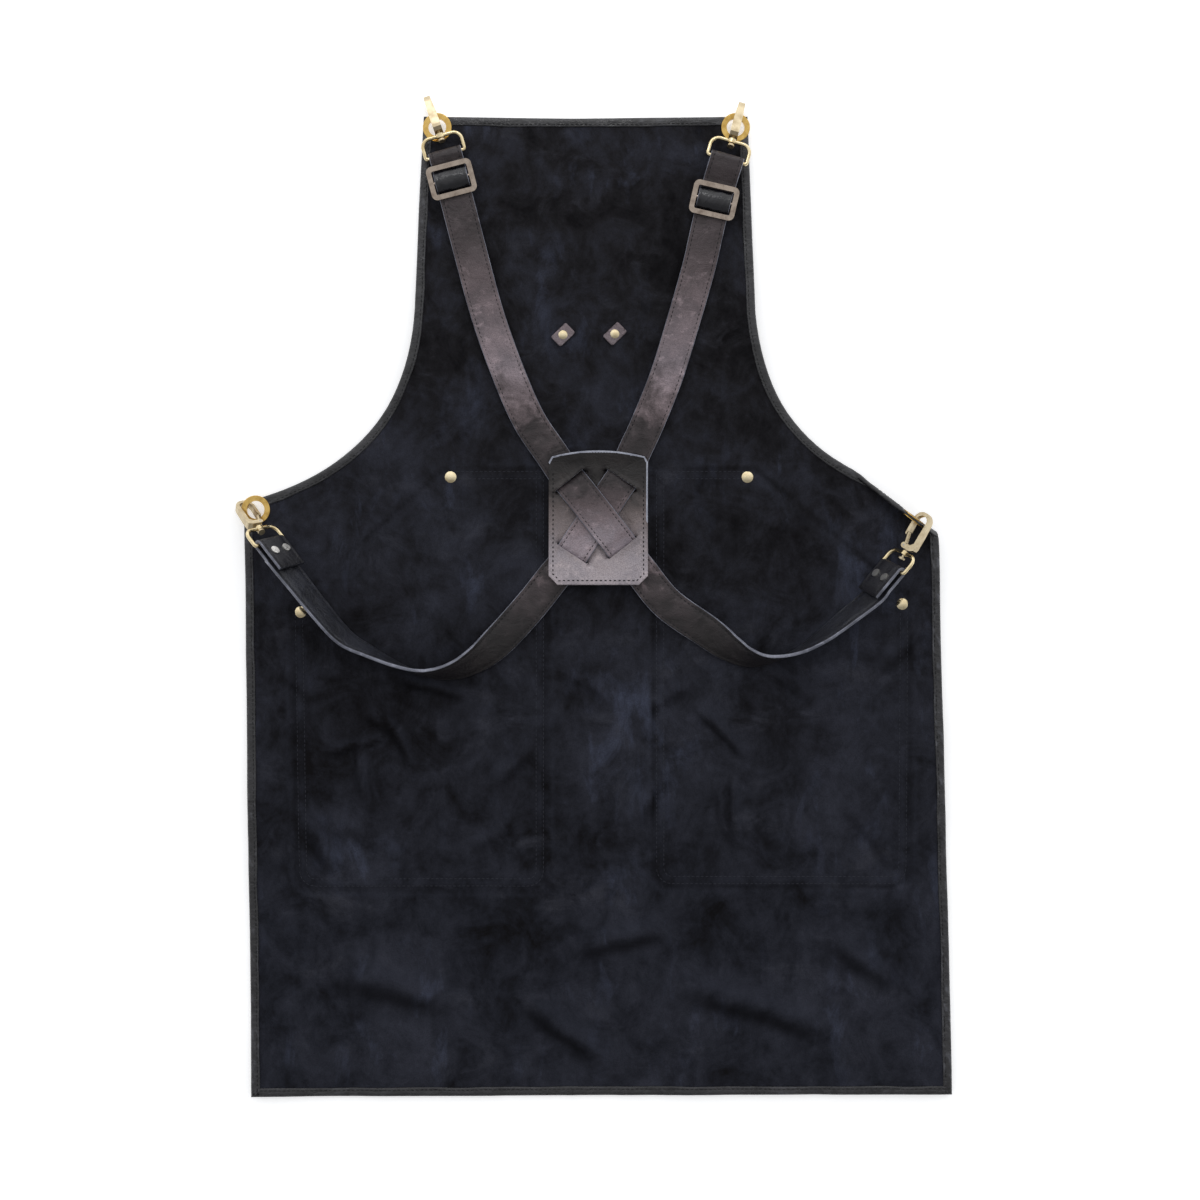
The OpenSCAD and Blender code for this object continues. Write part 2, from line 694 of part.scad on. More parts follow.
module hook_body(hook) {
    color("#d6bd84") at_frame(hook[0], hook[1], hook[2], hook[3]) difference() {
        union() {
            intersection() {
                rotate([90, 0, 0]) linear_extrude(20, center = true) hook_side_view();
                rotate([90, 0, 90]) linear_extrude(60) hook_end_view();
                translate([0, 0, -20]) linear_extrude(40) hook_top_view();
            }
            translate([collar_x, 0, 0]) rotate([0, 90, 0]) cylinder(r = collar_r, h = collar_l);
            translate([-4.2, 0, 0]) rotate([0, 90, 0]) cylinder(r = 1.2, h = 9);
            translate([-5.6, 0, 0]) rotate([0, 90, 0]) cylinder(r = 3, h = 1.6);
        }
        translate([pivot[0], 0, pivot[1]]) rotate([90, 0, 0]) cylinder(r = pin_r, h = 20, center = true);
        translate([pivot[0] - 2.6, -gate_slot / 2, -7]) cube([7.4, gate_slot, 6.4]);
        translate([pivot[0], -gate_slot / 2, -5]) cube([9, gate_slot, 7]);
    }
}

module hook_top_left() { hook_body(HOOK_TL); }
module hook_top_right() { hook_body(HOOK_TR); }
module hook_side_left() { hook_body(HOOK_SL); }
module hook_side_right() { hook_body(HOOK_SR); }

gate_t = 1.8;
gate_w = 3;
root_r = 2;
gate_tip = [17.9, notch_z + 0.15 + gate_t / 2];

module gate(hook) {
    drop = gate_tip - pivot;
    color("#cdb277") at_frame(hook[0], hook[1], hook[2], hook[3]) difference() {
        union() {
            translate([pivot[0], 0, pivot[1]]) rotate([90, 0, 0])
                cylinder(r = root_r, h = gate_slot - 0.2, center = true);
            intersection() {
                translate([pivot[0], 0, pivot[1]]) rotate([0, atan2(-drop[1], drop[0]), 0])
                    translate([1.2, -gate_w / 2, -gate_t / 2]) cube([norm(drop) + 3, gate_w, gate_t]);
                translate([0, -5, -10]) cube([gate_tip[0], 10, 14]);
                translate([0, -5, notch_z + 0.15]) cube([30, 10, 14]);
            }
        }
        translate([pivot[0], 0, pivot[1]]) rotate([90, 0, 0]) {
            cylinder(r = pin_r + 0.05, h = 20, center = true);
            cylinder(r = root_r + 0.1, h = 1.6, center = true);
        }
    }
}

module gate_pin(hook) {
    color("#a58c55") at_frame(hook[0], hook[1], hook[2], hook[3])
        translate([pivot[0], 0, pivot[1]]) rotate([90, 0, 0])
            cylinder(r = pin_r, h = hook_w - 0.2, center = true);
}

// The small coil that closes the gate, around the pin between the gate's two cheeks.
module gate_spring(hook) {
    color("silver") at_frame(hook[0], hook[1], hook[2], hook[3])
        translate([pivot[0], 0, pivot[1]]) rotate([90, 0, 0]) difference() {
            cylinder(r = 1.3, h = 1.4, center = true);
            cylinder(r = pin_r + 0.1, h = 3, center = true);
        }
}

module gate_top_left() { gate(HOOK_TL); }
module gate_top_right() { gate(HOOK_TR); }
module gate_side_left() { gate(HOOK_SL); }
module gate_side_right() { gate(HOOK_SR); }
module gate_pin_top_left() { gate_pin(HOOK_TL); }
module gate_pin_top_right() { gate_pin(HOOK_TR); }
module gate_pin_side_left() { gate_pin(HOOK_SL); }
module gate_pin_side_right() { gate_pin(HOOK_SR); }
module gate_spring_top_left() { gate_spring(HOOK_TL); }
module gate_spring_top_right() { gate_spring(HOOK_TR); }
module gate_spring_side_left() { gate_spring(HOOK_SL); }
module gate_spring_side_right() { gate_spring(HOOK_SR); }

apron_panel();
binding_hem();
binding_side_left();
binding_side_right();
binding_armhole_left();
binding_armhole_right();
binding_top();
grommet_top_left();
grommet_top_right();
grommet_side_left();
grommet_side_right();
grommet_washers();
pocket_left();
pocket_right();
pocket_rivets();
bib_tab_left();
bib_tab_right();
bib_tab_rivets();
front_badge();
back_patch();
strap_left();
strap_right();
strap_end_rivets();
slide_frame_left();
slide_bar_left();
strap_hump_left();
slide_frame_right();
slide_bar_right();
strap_hump_right();
ring_top_left();
ring_top_right();
ring_side_left();
ring_side_right();
hook_top_left();
hook_top_right();
hook_side_left();
hook_side_right();
gate_top_left();
gate_top_right();
gate_side_left();
gate_side_right();
gate_pin_top_left();
gate_pin_top_right();
gate_pin_side_left();
gate_pin_side_right();
gate_spring_top_left();
gate_spring_top_right();
gate_spring_side_left();
gate_spring_side_right();
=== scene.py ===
"""Looks of the leather welding apron: draped hide, edge binding, pockets, harness and finishes.

The apron lies on its front with its inner suede side up. Shapes are worked out in
millimetres, in the frame of the CAD model, and become metres when a mesh is made.
"""

import math

import bpy
import numpy as np
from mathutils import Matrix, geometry


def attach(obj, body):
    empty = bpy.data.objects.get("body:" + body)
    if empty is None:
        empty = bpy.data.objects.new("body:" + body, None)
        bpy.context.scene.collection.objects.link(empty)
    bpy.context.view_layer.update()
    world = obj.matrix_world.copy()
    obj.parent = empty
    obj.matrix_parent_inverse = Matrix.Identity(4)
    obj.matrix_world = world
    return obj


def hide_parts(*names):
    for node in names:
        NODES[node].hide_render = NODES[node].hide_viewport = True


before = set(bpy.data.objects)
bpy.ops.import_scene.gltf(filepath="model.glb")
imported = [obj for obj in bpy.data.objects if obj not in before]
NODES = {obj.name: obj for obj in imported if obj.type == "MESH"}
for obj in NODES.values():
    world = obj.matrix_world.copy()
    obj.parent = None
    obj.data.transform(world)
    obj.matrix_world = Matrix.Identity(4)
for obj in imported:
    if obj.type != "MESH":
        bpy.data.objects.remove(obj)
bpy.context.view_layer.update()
MM = 0.001

# Hide and binding
HIDE_MID = 8.6
HIDE_T = 2.0
BINDING_W = 8.0
BINDING_T = 1.0
GROMMETS = np.array([[-138.1, 411.2], [121.5, 411.2], [-296.1, 78.5], [285.1, 83.2]])
POCKET_RIVETS = np.array([[-257, -10.5], [-126.5, 107], [266.5, -3.5], [131.8, 107]])
TAB_RIVETS = np.array([[-28.7, 230.6], [16.4, 231.4]])
HOLE_R = 8.6

# Harness
STRAP_W = 29.0
STRAP_T = 3.0
RING_REACH = 16.8
WRAP_R = 1.6 + 0.15 + STRAP_T / 2
FOLD_LEN = 30.0
PATCH_MID = np.array([2.0, 71.0])
PATCH_W = 86.0
PATCH_H = 116.0
PATCH_T = 2.2

# Stitching
PITCH = 4.0
STITCH_LEN = 2.7
STITCH_IN = 3.2


# ---- Vectors, noise and outlines ----


def unit(v):
    v = np.asarray(v, float)
    return v / np.linalg.norm(v, axis=-1, keepdims=True)


def step(a, b, v):
    """Smooth step from 0 at a to 1 at b."""
    t = np.clip((np.asarray(v, float) - a) / (b - a), 0, 1)
    return t * t * (3 - 2 * t)


def waves(x, y, size, seed):
    """Smooth noise between -1 and 1 with bumps about size wide."""
    grid = np.random.default_rng(seed).uniform(-1, 1, (64, 64))
    u = np.asarray(x, float) / size
    v = np.asarray(y, float) / size
    i = np.floor(u).astype(int)
    j = np.floor(v).astype(int)
    s = step(0, 1, u - i)
    t = step(0, 1, v - j)
    near = grid[i % 64, j % 64] * (1 - s) + grid[(i + 1) % 64, j % 64] * s
    far = grid[i % 64, (j + 1) % 64] * (1 - s) + grid[(i + 1) % 64, (j + 1) % 64] * s
    return near * (1 - t) + far * t


def bow(a, b, c, count=24):
    """Quadratic curve from a to c, pulled towards b."""
    t = np.linspace(0, 1, count + 1)[:, None]
    a, b, c = (np.array(p, float) for p in (a, b, c))
    return (1 - t) ** 2 * a + 2 * t * (1 - t) * b + t**2 * c


def evenly(points, spacing):
    """The same polyline with its points about spacing apart, corners kept."""
    points = np.asarray(points, float)
    out = [points[:1]]
    for a, b in zip(points[:-1], points[1:]):
        count = max(1, int(round(np.linalg.norm(b - a) / spacing)))
        t = np.arange(1, count + 1)[:, None] / count
        out.append(a + (b - a) * t)
    return np.concatenate(out)


def segment_distance(p, a, b):
    """Distance of each point of p from the segment a-b."""
    d = b - a
    t = np.clip(((p - a) @ d) / (d @ d), 0, 1)
    return np.linalg.norm(p - a - t[:, None] * d, axis=1)


def loop_distance(p, loop):
    """Distance of each point of p from the closed loop."""
    best = np.full(len(p), 1e9)
    for a, b in zip(loop, np.roll(loop, -1, axis=0)):
        best = np.minimum(best, segment_distance(p, a, b))
    return best


def inside(p, loop):
    """Whether each point of p is inside the closed loop."""
    result = np.zeros(len(p), bool)
    for a, b in zip(loop, np.roll(loop, -1, axis=0)):
        if a[1] != b[1]:
            crosses = (a[1] > p[:, 1]) != (b[1] > p[:, 1])
            x = a[0] + (p[:, 1] - a[1]) * (b[0] - a[0]) / (b[1] - a[1])
            result ^= crosses & (p[:, 0] < x)
    return result


def left_of(v):
    """Each flat vector turned a quarter turn to the left."""
    return np.column_stack([-v[:, 1], v[:, 0]])


def axes(turn):
    """Unit vectors along and across a direction in degrees."""
    a = math.radians(turn)
    return np.array([math.cos(a), math.sin(a)]), np.array([-math.sin(a), math.cos(a)])


def closed_evenly(loop, spacing):
    """The closed loop with its points about spacing apart."""
    return evenly(np.concatenate([loop, loop[:1]]), spacing)[:-1]


def circle(centre, r, count=28):
    t = np.linspace(0, 2 * math.pi, count, endpoint=False)
    return np.stack([centre[0] + r * np.cos(t), centre[1] + r * np.sin(t)], 1)


def rotation(yaw, pitch, roll):
    """Axes of a frame turned by yaw, tipped nose-down by pitch and rolled about its x."""
    y, p, r = (math.radians(a) for a in (yaw, pitch, roll))
    x_axis = np.array([math.cos(y) * math.cos(p), math.sin(y) * math.cos(p), -math.sin(p)])
    level = np.array([-math.sin(y), math.cos(y), 0])
    up = np.array([math.cos(y) * math.sin(p), math.sin(y) * math.sin(p), math.cos(p)])
    y_axis = level * math.cos(r) + up * math.sin(r)
    return x_axis, y_axis, np.cross(x_axis, y_axis)


# ---- Meshes ----


def new_piece(name, points, faces, materials, body="apron", face_slots=None):
    """A smooth mesh of points in millimetres that rides on a body."""
    mesh = bpy.data.meshes.new(name)
    mesh.from_pydata((np.asarray(points) * MM).tolist(), [], [list(f) for f in faces])
    for m in materials:
        mesh.materials.append(m)
    if face_slots is not None:
        mesh.polygons.foreach_set("material_index", face_slots)
    mesh.polygons.foreach_set("use_smooth", [True] * len(mesh.polygons))
    mesh.update()
    piece = bpy.data.objects.new(name, mesh)
    bpy.context.scene.collection.objects.link(piece)
    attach(piece, body)
    return piece


def triangulate(loops, spacing, extra=()):
    """Triangles that fill the first loop, less the others, with a grid of inner points."""
    low = loops[0].min(0) + spacing / 2
    high = loops[0].max(0)
    gx, gy = np.meshgrid(np.arange(low[0], high[0], spacing), np.arange(low[1], high[1], spacing))
    grid = np.stack([gx.ravel(), gy.ravel()], 1)
    grid = np.concatenate([grid] + list(extra))
    keep = inside(grid, loops[0]) & (loop_distance(grid, loops[0]) > spacing * 0.45)
    for hole in loops[1:]:
        near = np.linalg.norm(grid - hole.mean(0), axis=1) < 60
        far_off = np.ones(len(grid), bool)
        far_off[near] = ~inside(grid[near], hole) & (loop_distance(grid[near], hole) > spacing * 0.4)
        keep &= far_off
    points = list(grid[keep])
    edges = []
    for loop in loops:
        first = len(points)
        points += list(loop)
        edges += [(first + i, first + (i + 1) % len(loop)) for i in range(len(loop))]
    flat = [(float(p[0]), float(p[1])) for p in points]
    out = geometry.delaunay_2d_cdt(flat, edges, [], 0, 1e-4)
    verts = np.array([(v[0], v[1]) for v in out[0]])
    tris = np.array(out[2])
    middle = verts[tris].mean(1)
    good = inside(middle, loops[0])
    for hole in loops[1:]:
        near = np.where(np.linalg.norm(middle - hole.mean(0), axis=1) < 60)[0]
        good[near[inside(middle[near], hole)]] = False
    tris = tris[good]
    a, b, c = (verts[tris[:, k]] for k in range(3))
    turn = (b[:, 0] - a[:, 0]) * (c[:, 1] - a[:, 1]) - (b[:, 1] - a[:, 1]) * (c[:, 0] - a[:, 0])
    tris[turn < 0] = tris[turn < 0][:, ::-1]
    return verts, tris


def rim_edges(tris):
    """Directed edges that belong to one triangle only."""
    edges = np.concatenate([tris[:, [0, 1]], tris[:, [1, 2]], tris[:, [2, 0]]])
    seen = {tuple(e) for e in edges.tolist()}
    return [e for e in edges.tolist() if (e[1], e[0]) not in seen]


def slab(name, verts, tris, place, thickness, materials):
    """A sheet of even thickness: place(xy, lift) gives each face's points."""
    top = place(verts, np.full(len(verts), thickness / 2))
    bottom = place(verts, np.full(len(verts), -thickness / 2))
    n = len(verts)
    faces = tris.tolist() + (tris[:, ::-1] + n).tolist()
    walls = [[b, a, a + n, b + n] for a, b in rim_edges(tris)]
    slots = [0] * len(tris) + [min(1, len(materials) - 1)] * len(tris)
    slots += [min(2, len(materials) - 1)] * len(walls)
    points = np.concatenate([top, bottom])
    return new_piece(name, points, faces + walls, materials, face_slots=slots)


def tube(name, rings, materials, body="apron", slot_of=None):
    """Joins rings of points, each a loop of the same length, and caps both ends."""
    rings = np.asarray(rings)
    n, m = rings.shape[:2]
    faces = []
    slots = []
    for i in range(n - 1):
        for j in range(m):
            k = (j + 1) % m
            faces.append([i * m + j, i * m + k, (i + 1) * m + k, (i + 1) * m + j])
            slots.append(slot_of[j] if slot_of else 0)
    faces.append(list(range(m - 1, -1, -1)))
    faces.append([(n - 1) * m + j for j in range(m)])
    slots += [len(materials) - 1] * 2
    return new_piece(name, rings.reshape(-1, 3), faces, materials, body, slots)


def set_painted_relief_light(piece, painted_relief_light):
    """Marks each point from -1, in painted shade, to 1, in painted highlight, for the leather's colour."""
    layer = piece.data.attributes.new("painted_relief_light", "FLOAT", "POINT")
    layer.data.foreach_set("value", np.clip(painted_relief_light, -1, 1).astype(np.float32))


def sample(places, run, values):
    """The values, known at each distance in run, at the places between."""
    return np.stack([np.interp(places, run, values[:, k]) for k in range(3)], 1)


def stitch_rows(name, rows, material, radius, length=STITCH_LEN):
    """Rows of thread stitches. Each row is (points, normals)."""
    sides = 6
    stations = [(-0.5, 0.25), (-0.36, 0.85), (0, 1.0), (0.36, 0.85), (0.5, 0.25)]
    turn = np.arange(sides) * 2 * math.pi / sides
    points = []
    faces = []
    for line, normal in rows:
        gap = np.linalg.norm(np.diff(line, axis=0), axis=1)
        run = np.concatenate([[0], np.cumsum(gap)])
        places = np.arange(PITCH * 0.7, run[-1] - PITCH * 0.6, PITCH)
        if len(places) == 0:
            continue
        at = sample(places, run, line)
        up = unit(sample(places, run, normal))
        along = unit(sample(places + 0.5, run, line) - at)
        side = unit(np.cross(up, along))
        for c, a, s, u in zip(at, along, side, up):
            first = len(points)
            for t, size in stations:
                ring = c + a * t * length - u * radius * 0.25
                for q in turn:
                    points.append(ring + (s * math.cos(q) + u * math.sin(q)) * radius * size)
            for i in range(len(stations) - 1):
                for j in range(sides):
                    k = (j + 1) % sides
                    p = first + i * sides
                    faces.append([p + j, p + k, p + sides + k, p + sides + j])
            faces.append([first + j for j in range(sides - 1, -1, -1)])
            faces.append([first + (len(stations) - 1) * sides + j for j in range(sides)])
    return new_piece(name, points, faces, [material])


# ---- Materials ----


class Shader:
    """A material's node tree, with short calls for what the finishes share."""

    def __init__(self, name, **values):
        self.material = bpy.data.materials.new(name)
        self.material.use_nodes = True
        self.tree = self.material.node_tree
        self.shade = self.tree.nodes["Principled BSDF"]
        self.place = self.tree.nodes.new("ShaderNodeTexCoord").outputs["Object"]
        for key, value in values.items():
            self.shade.inputs[key.replace("_", " ")].default_value = value

    def node(self, kind, links=(), **settings):
        """A node whose sockets are linked to an output or set to a value."""
        made = self.tree.nodes.new(kind)
        for key, value in settings.items():
            setattr(made, key, value)
        for socket, source in links:
            if hasattr(source, "default_value"):
                self.tree.links.new(source, made.inputs[socket])
            else:
                made.inputs[socket].default_value = source
        return made

    def noise(self, scale, detail=3.0, rough=0.55, stretch=(1, 1, 1), turn=0.0, twist=0.0):
        """Noise with features about 1 / scale metres wide."""
        links = [("Vector", self.place), ("Scale", stretch), ("Rotation", (0, 0, turn))]
        at = self.node("ShaderNodeMapping", links).outputs[0]
        links = [("Vector", at), ("Scale", scale), ("Detail", detail), ("Roughness", rough)]
        made = self.node("ShaderNodeTexNoise", links + [("Distortion", twist)])
        return made.outputs["Fac"]

    def cells(self, scale):
        """Rounded cells about 1 / scale metres wide, 0 at their middles."""
        links = [("Vector", self.place), ("Scale", scale)]
        return self.node("ShaderNodeTexVoronoi", links, feature="F1").outputs["Distance"]

    def band(self, value, low, high, out_low=0.0, out_high=1.0):
        """Maps low..high to out_low..out_high and stops there."""
        links = [(0, value), (1, low), (2, high), (3, out_low), (4, out_high)]
        return self.node("ShaderNodeMapRange", links).outputs[0]

    def math(self, kind, a, b):
        return self.node("ShaderNodeMath", [(0, a), (1, b)], operation=kind).outputs[0]

    def mix(self, amount, a, b):
        """Colour a where amount is 0 and b where it is 1."""
        made = self.node("ShaderNodeMix", data_type="RGBA")
        for socket, source in ((0, amount), (6, a), (7, b)):
            if hasattr(source, "default_value"):
                self.tree.links.new(source, made.inputs[socket])
            elif socket == 0:
                made.inputs[socket].default_value = source
            else:
                made.inputs[socket].default_value = (*source, 1)
        return made.outputs[2]

    def bump(self, *layers):
        """Stacks bump layers, each (height, distance in metres)."""
        normal = None
        for height, distance in layers:
            links = [("Height", height), ("Distance", distance), ("Strength", 1.0)]
            if normal is not None:
                links.append(("Normal", normal))
            normal = self.node("ShaderNodeBump", links).outputs[0]
        self.tree.links.new(normal, self.shade.inputs["Normal"])

    def set(self, socket, source):
        self.tree.links.new(source, self.shade.inputs[socket])


def suede_material(name):
    """Navy suede: mottled nap with blue brushed marks, bluer and paler towards the hem."""
    s = Shader(name, Roughness=0.95, Specular_IOR_Level=0.05, Sheen_Weight=0.05,
               Sheen_Roughness=0.4, Sheen_Tint=(0.6, 0.68, 0.9, 1))
    height = s.node("ShaderNodeSeparateXYZ", [(0, s.place)]).outputs[1]
    clouds = s.noise(7, 6, 0.6, twist=0.5)
    patches = s.noise(26, 8, 0.68, twist=0.8)
    mottle = s.noise(75, 8, 0.72, stretch=(1, 0.7, 1), turn=0.6)
    brushed = s.noise(34, 8, 0.66, stretch=(1, 0.4, 1), turn=0.8, twist=0.5)
    across = s.noise(27, 8, 0.66, stretch=(0.45, 1, 1), turn=0.5, twist=0.5)
    fuzz = s.noise(1100, 2, 0.7)
    tone = s.math("ADD", s.math("MULTIPLY", clouds, 0.4), s.math("MULTIPLY", patches, 0.34))
    tone = s.math("ADD", tone, s.math("MULTIPLY", mottle, 0.26))
    tone = s.math("ADD", tone, s.band(height, -0.42, 0.3, 0.02, -0.012))
    marks = s.math("MULTIPLY", s.band(brushed, 0.54, 0.7), s.band(clouds, 0.45, 0.6))
    scuffs = s.math("MULTIPLY", s.band(across, 0.55, 0.72), s.band(patches, 0.45, 0.6))
    deep = s.mix(s.band(height, -0.3, 0.2), (0.0155, 0.0165, 0.0222), (0.0162, 0.0155, 0.0175))
    colour = s.mix(s.band(tone, 0.47, 0.62), deep, (0.037, 0.039, 0.0525))
    colour = s.mix(s.band(tone, 0.475, 0.4), colour, (0.007, 0.0065, 0.0072))
    colour = s.mix(s.math("MULTIPLY", marks, 0.55), colour, (0.075, 0.086, 0.132))
    colour = s.mix(s.math("MULTIPLY", scuffs, 0.45), colour, (0.066, 0.067, 0.082))
    colour = s.mix(s.band(fuzz, 0.4, 0.75, 0.0, 0.4), colour, (0.004, 0.004, 0.006))
    # Painted shade in the creases' folds and the pocket seams' grooves; painted highlight on the crests
    # and on the welts beside the seams.
    painted_relief_light = s.node("ShaderNodeAttribute", attribute_name="painted_relief_light").outputs["Fac"]
    colour = s.mix(s.band(painted_relief_light, 0, -1, 0, 0.8), colour, (0.0022, 0.002, 0.0024))
    colour = s.mix(s.band(painted_relief_light, 0, 1, 0, 0.45), colour, (0.04, 0.044, 0.062))
    s.set("Base Color", colour)
    nap = s.noise(300, 3)
    s.bump((patches, 0.0016), (brushed, 0.0012), (mottle, 0.0008), (nap, 0.0003), (fuzz, 0.0002))
    return s.material


# Heights between which painted sheen and shade are given, in metres.
SHEEN_LOW = -0.06
SHEEN_SPAN = 0.5


def leather_material(name, dark, light, gloss=0.45, grain=0.00016, crease=0.0005, spec=0.5, painted_sheen_and_shade=()):
    """Smooth dyed leather: pebbled grain, soft creases and worn lighter patches.

    The last argument gives (height on the apron in metres, brightness) pairs: painted sheen
    brightens the leather at some heights and painted shade darkens it at others.
    """
    s = Shader(name, Specular_IOR_Level=spec)
    clouds = s.noise(42, 5, 0.62, twist=0.5)
    rubbed = s.noise(120, 4, 0.65)
    pebbles = s.cells(1150)
    creases = s.noise(90, 6, 0.7, stretch=(0.5, 1, 1), turn=0.3, twist=1.2)
    pores = s.noise(1500, 2)
    colour = s.mix(s.band(clouds, 0.38, 0.64), dark, light)
    base = s.mix(s.band(rubbed, 0.56, 0.74, 0, 0.6), colour, tuple(1.8 * c + 0.004 for c in light))
    colour = base
    # Painted sheen and shade: a ramp by height on the apron scales the colour up where a sheen is painted
    # and down where shade is painted.
    if painted_sheen_and_shade:
        x, y, _ = s.node("ShaderNodeSeparateXYZ", [(0, s.place)]).outputs
        wander = s.math("ADD", y, s.band(clouds, 0.3, 0.7, -0.016, 0.016))
        ramp = s.node("ShaderNodeValToRGB", [(0, s.band(wander, SHEEN_LOW, SHEEN_LOW + SHEEN_SPAN))])
        stops = ramp.color_ramp.elements
        while len(stops) < len(painted_sheen_and_shade):
            stops.new(0.5)
        brightest = max(bright for _, bright in painted_sheen_and_shade)
        for stop, (at, bright) in zip(stops, painted_sheen_and_shade):
            stop.position = (at - SHEEN_LOW) / SHEEN_SPAN
            stop.color = (*[bright / brightest] * 3, 1)
        scale = s.math("MULTIPLY", ramp.outputs[0], brightest)
        # Where the painted sheen is strongest the colour also pales, a painted reflection.
        highlit = s.mix(s.band(scale, 2.5, 8, 0, 0.5), base, (0.05, 0.048, 0.055))
        colour = s.node("ShaderNodeVectorMath", [(0, highlit), (3, scale)], operation="SCALE").outputs[0]
        aside = s.band(s.node("ShaderNodeMath", [(0, x)], operation="ABSOLUTE").outputs[0], 0.1, 0.2)
        colour = s.mix(s.math("MULTIPLY", aside, s.band(y, 0.16, 0.11)), colour, (0.013, 0.0135, 0.0185))
    # Painted highlight and shade of the relief: lighter on crests, darker in folds, grooves and troughs.
    painted_relief_light = s.node("ShaderNodeAttribute", attribute_name="painted_relief_light").outputs["Fac"]
    colour = s.mix(s.band(painted_relief_light, 0.1, 1, 0, 0.8), colour, (0.15, 0.155, 0.18))
    colour = s.mix(s.band(painted_relief_light, 0, -1, 0, 0.7), colour, tuple(0.3 * c for c in dark))
    colour = s.mix(s.band(pebbles, 0.25, 0.75, 0, 0.3), colour, tuple(0.5 * c for c in dark))
    s.set("Base Color", colour)
    s.set("Roughness", s.band(rubbed, 0.3, 0.75, gloss + 0.12, gloss - 0.08))
    s.bump((creases, crease), (clouds, 0.0022), (pebbles, -grain), (pores, grain * 0.5))
    return s.material


def metal_material(name, bright, worn, rough=0.25, grime=(0.05, 0.035, 0.02), amount=0.35):
    """Plated metal: polished, with patina in the hollows of a fine noise."""
    s = Shader(name, Metallic=1.0)
    clouds = s.noise(150, 5, 0.6)
    specks = s.noise(1100, 3, 0.7)
    brushed = s.noise(700, 2, 0.5, stretch=(1, 0.12, 1), turn=0.4)
    colour = s.mix(s.band(clouds, 0.4, 0.7), bright, worn)
    colour = s.mix(s.band(specks, 0.6, 0.76, 0, amount), colour, grime)
    s.set("Base Color", colour)
    s.set("Roughness", s.band(clouds, 0.35, 0.7, rough - 0.06, rough + 0.1))
    s.bump((clouds, 0.0001), (brushed, 0.00002), (specks, 0.00002))
    return s.material


def thread_material(name, colour):
    """Waxed thread with a twist."""
    s = Shader(name, Roughness=0.75)
    twist = s.noise(2200, 2, stretch=(1, 0.35, 1), turn=0.7)
    s.set("Base Color", s.mix(s.band(twist, 0.35, 0.65), tuple(0.6 * c for c in colour), colour))
    s.bump((twist, 0.0001))
    return s.material


def paper_material(name):
    """White paper that glows a little, as a lit studio floor does."""
    s = Shader(name, Roughness=0.8, Specular_IOR_Level=0.1,
               Emission_Color=(1, 1, 1, 1), Emission_Strength=0.4)
    s.set("Base Color", s.mix(s.noise(60, 3), (0.93, 0.93, 0.93), (0.96, 0.96, 0.96)))
    return s.material


SUEDE = suede_material("navy_suede")
FRONT_LEATHER = leather_material("front_leather", (0.012, 0.011, 0.013), (0.026, 0.024, 0.027), 0.42)
BINDING = leather_material(
    "binding_leather", (0.009, 0.0085, 0.01), (0.024, 0.023, 0.027), 0.27, 0.0001, 0.0012, 0.6)
# The strap and the patch are given painted sheen and painted shade by height on the apron.
STRAP = leather_material(
    "strap_leather", (0.028, 0.0205, 0.0215), (0.066, 0.05, 0.053), 0.42, crease=0.001, spec=0.4,
    painted_sheen_and_shade=((-0.06, 0.2), (-0.02, 0.3), (0.022, 0.9), (0.05, 7.5), (0.075, 3.6), (0.1, 0.5),
          (0.15, 0.9), (0.2, 6.0), (0.26, 3.6), (0.31, 1.3), (0.4, 0.6)))
PATCH = leather_material(
    "patch_leather", (0.028, 0.021, 0.02), (0.06, 0.047, 0.045), 0.36, crease=0.0009, spec=0.5,
    painted_sheen_and_shade=((0.0, 9.0), (0.022, 9.5), (0.046, 7.0), (0.074, 4.0), (0.094, 0.9), (0.112, 0.2), (0.13, 0.3)))
STRAP_BACK = leather_material(
    "strap_flesh_side", (0.011, 0.0115, 0.016), (0.03, 0.032, 0.043), 0.42, spec=0.5)
EDGE_PAINT = leather_material("edge_paint", (0.1, 0.105, 0.135), (0.27, 0.28, 0.34), 0.34, 0.00005, 0.0003)
# Pale edge paint, which also makes a painted highlight along the patch's curled top rim.
EDGE_PAINT_AND_RIM_HIGHLIGHT = leather_material("edge_paint_and_rim_highlight", (0.3, 0.31, 0.38), (0.5, 0.52, 0.6), 0.34, 0.00005, 0.0002)
RAW_EDGE = leather_material("cut_edge", (0.05, 0.045, 0.045), (0.11, 0.1, 0.1), 0.6)
GLOSSY = leather_material(
    "polished_strap", (0.004, 0.004, 0.006), (0.009, 0.009, 0.013), 0.15, 0.00004, 0.0003, 0.6)
GROMMET = metal_material("grommet_brass", (0.72, 0.48, 0.15), (0.46, 0.28, 0.07), 0.2)
HOOK = metal_material("hook_brass", (0.66, 0.56, 0.38), (0.5, 0.4, 0.25), 0.44, amount=0.15)
RING = metal_material("ring_brass", (0.83, 0.7, 0.44), (0.6, 0.46, 0.24), 0.2, amount=0.25)
RIVET = metal_material("rivet_brass", (0.87, 0.75, 0.5), (0.66, 0.52, 0.3), 0.22, amount=0.2)
PEWTER = metal_material(
    "antique_pewter", (0.42, 0.35, 0.29), (0.24, 0.19, 0.155), 0.26, (0.05, 0.04, 0.035), 0.45)
STEEL = metal_material("spring_steel", (0.5, 0.49, 0.48), (0.26, 0.25, 0.25), 0.28)
SILVER = metal_material("rivet_silver", (0.88, 0.86, 0.82), (0.62, 0.6, 0.57), 0.3, amount=0.2)
THREAD = thread_material("dark_thread", (0.004, 0.004, 0.005))
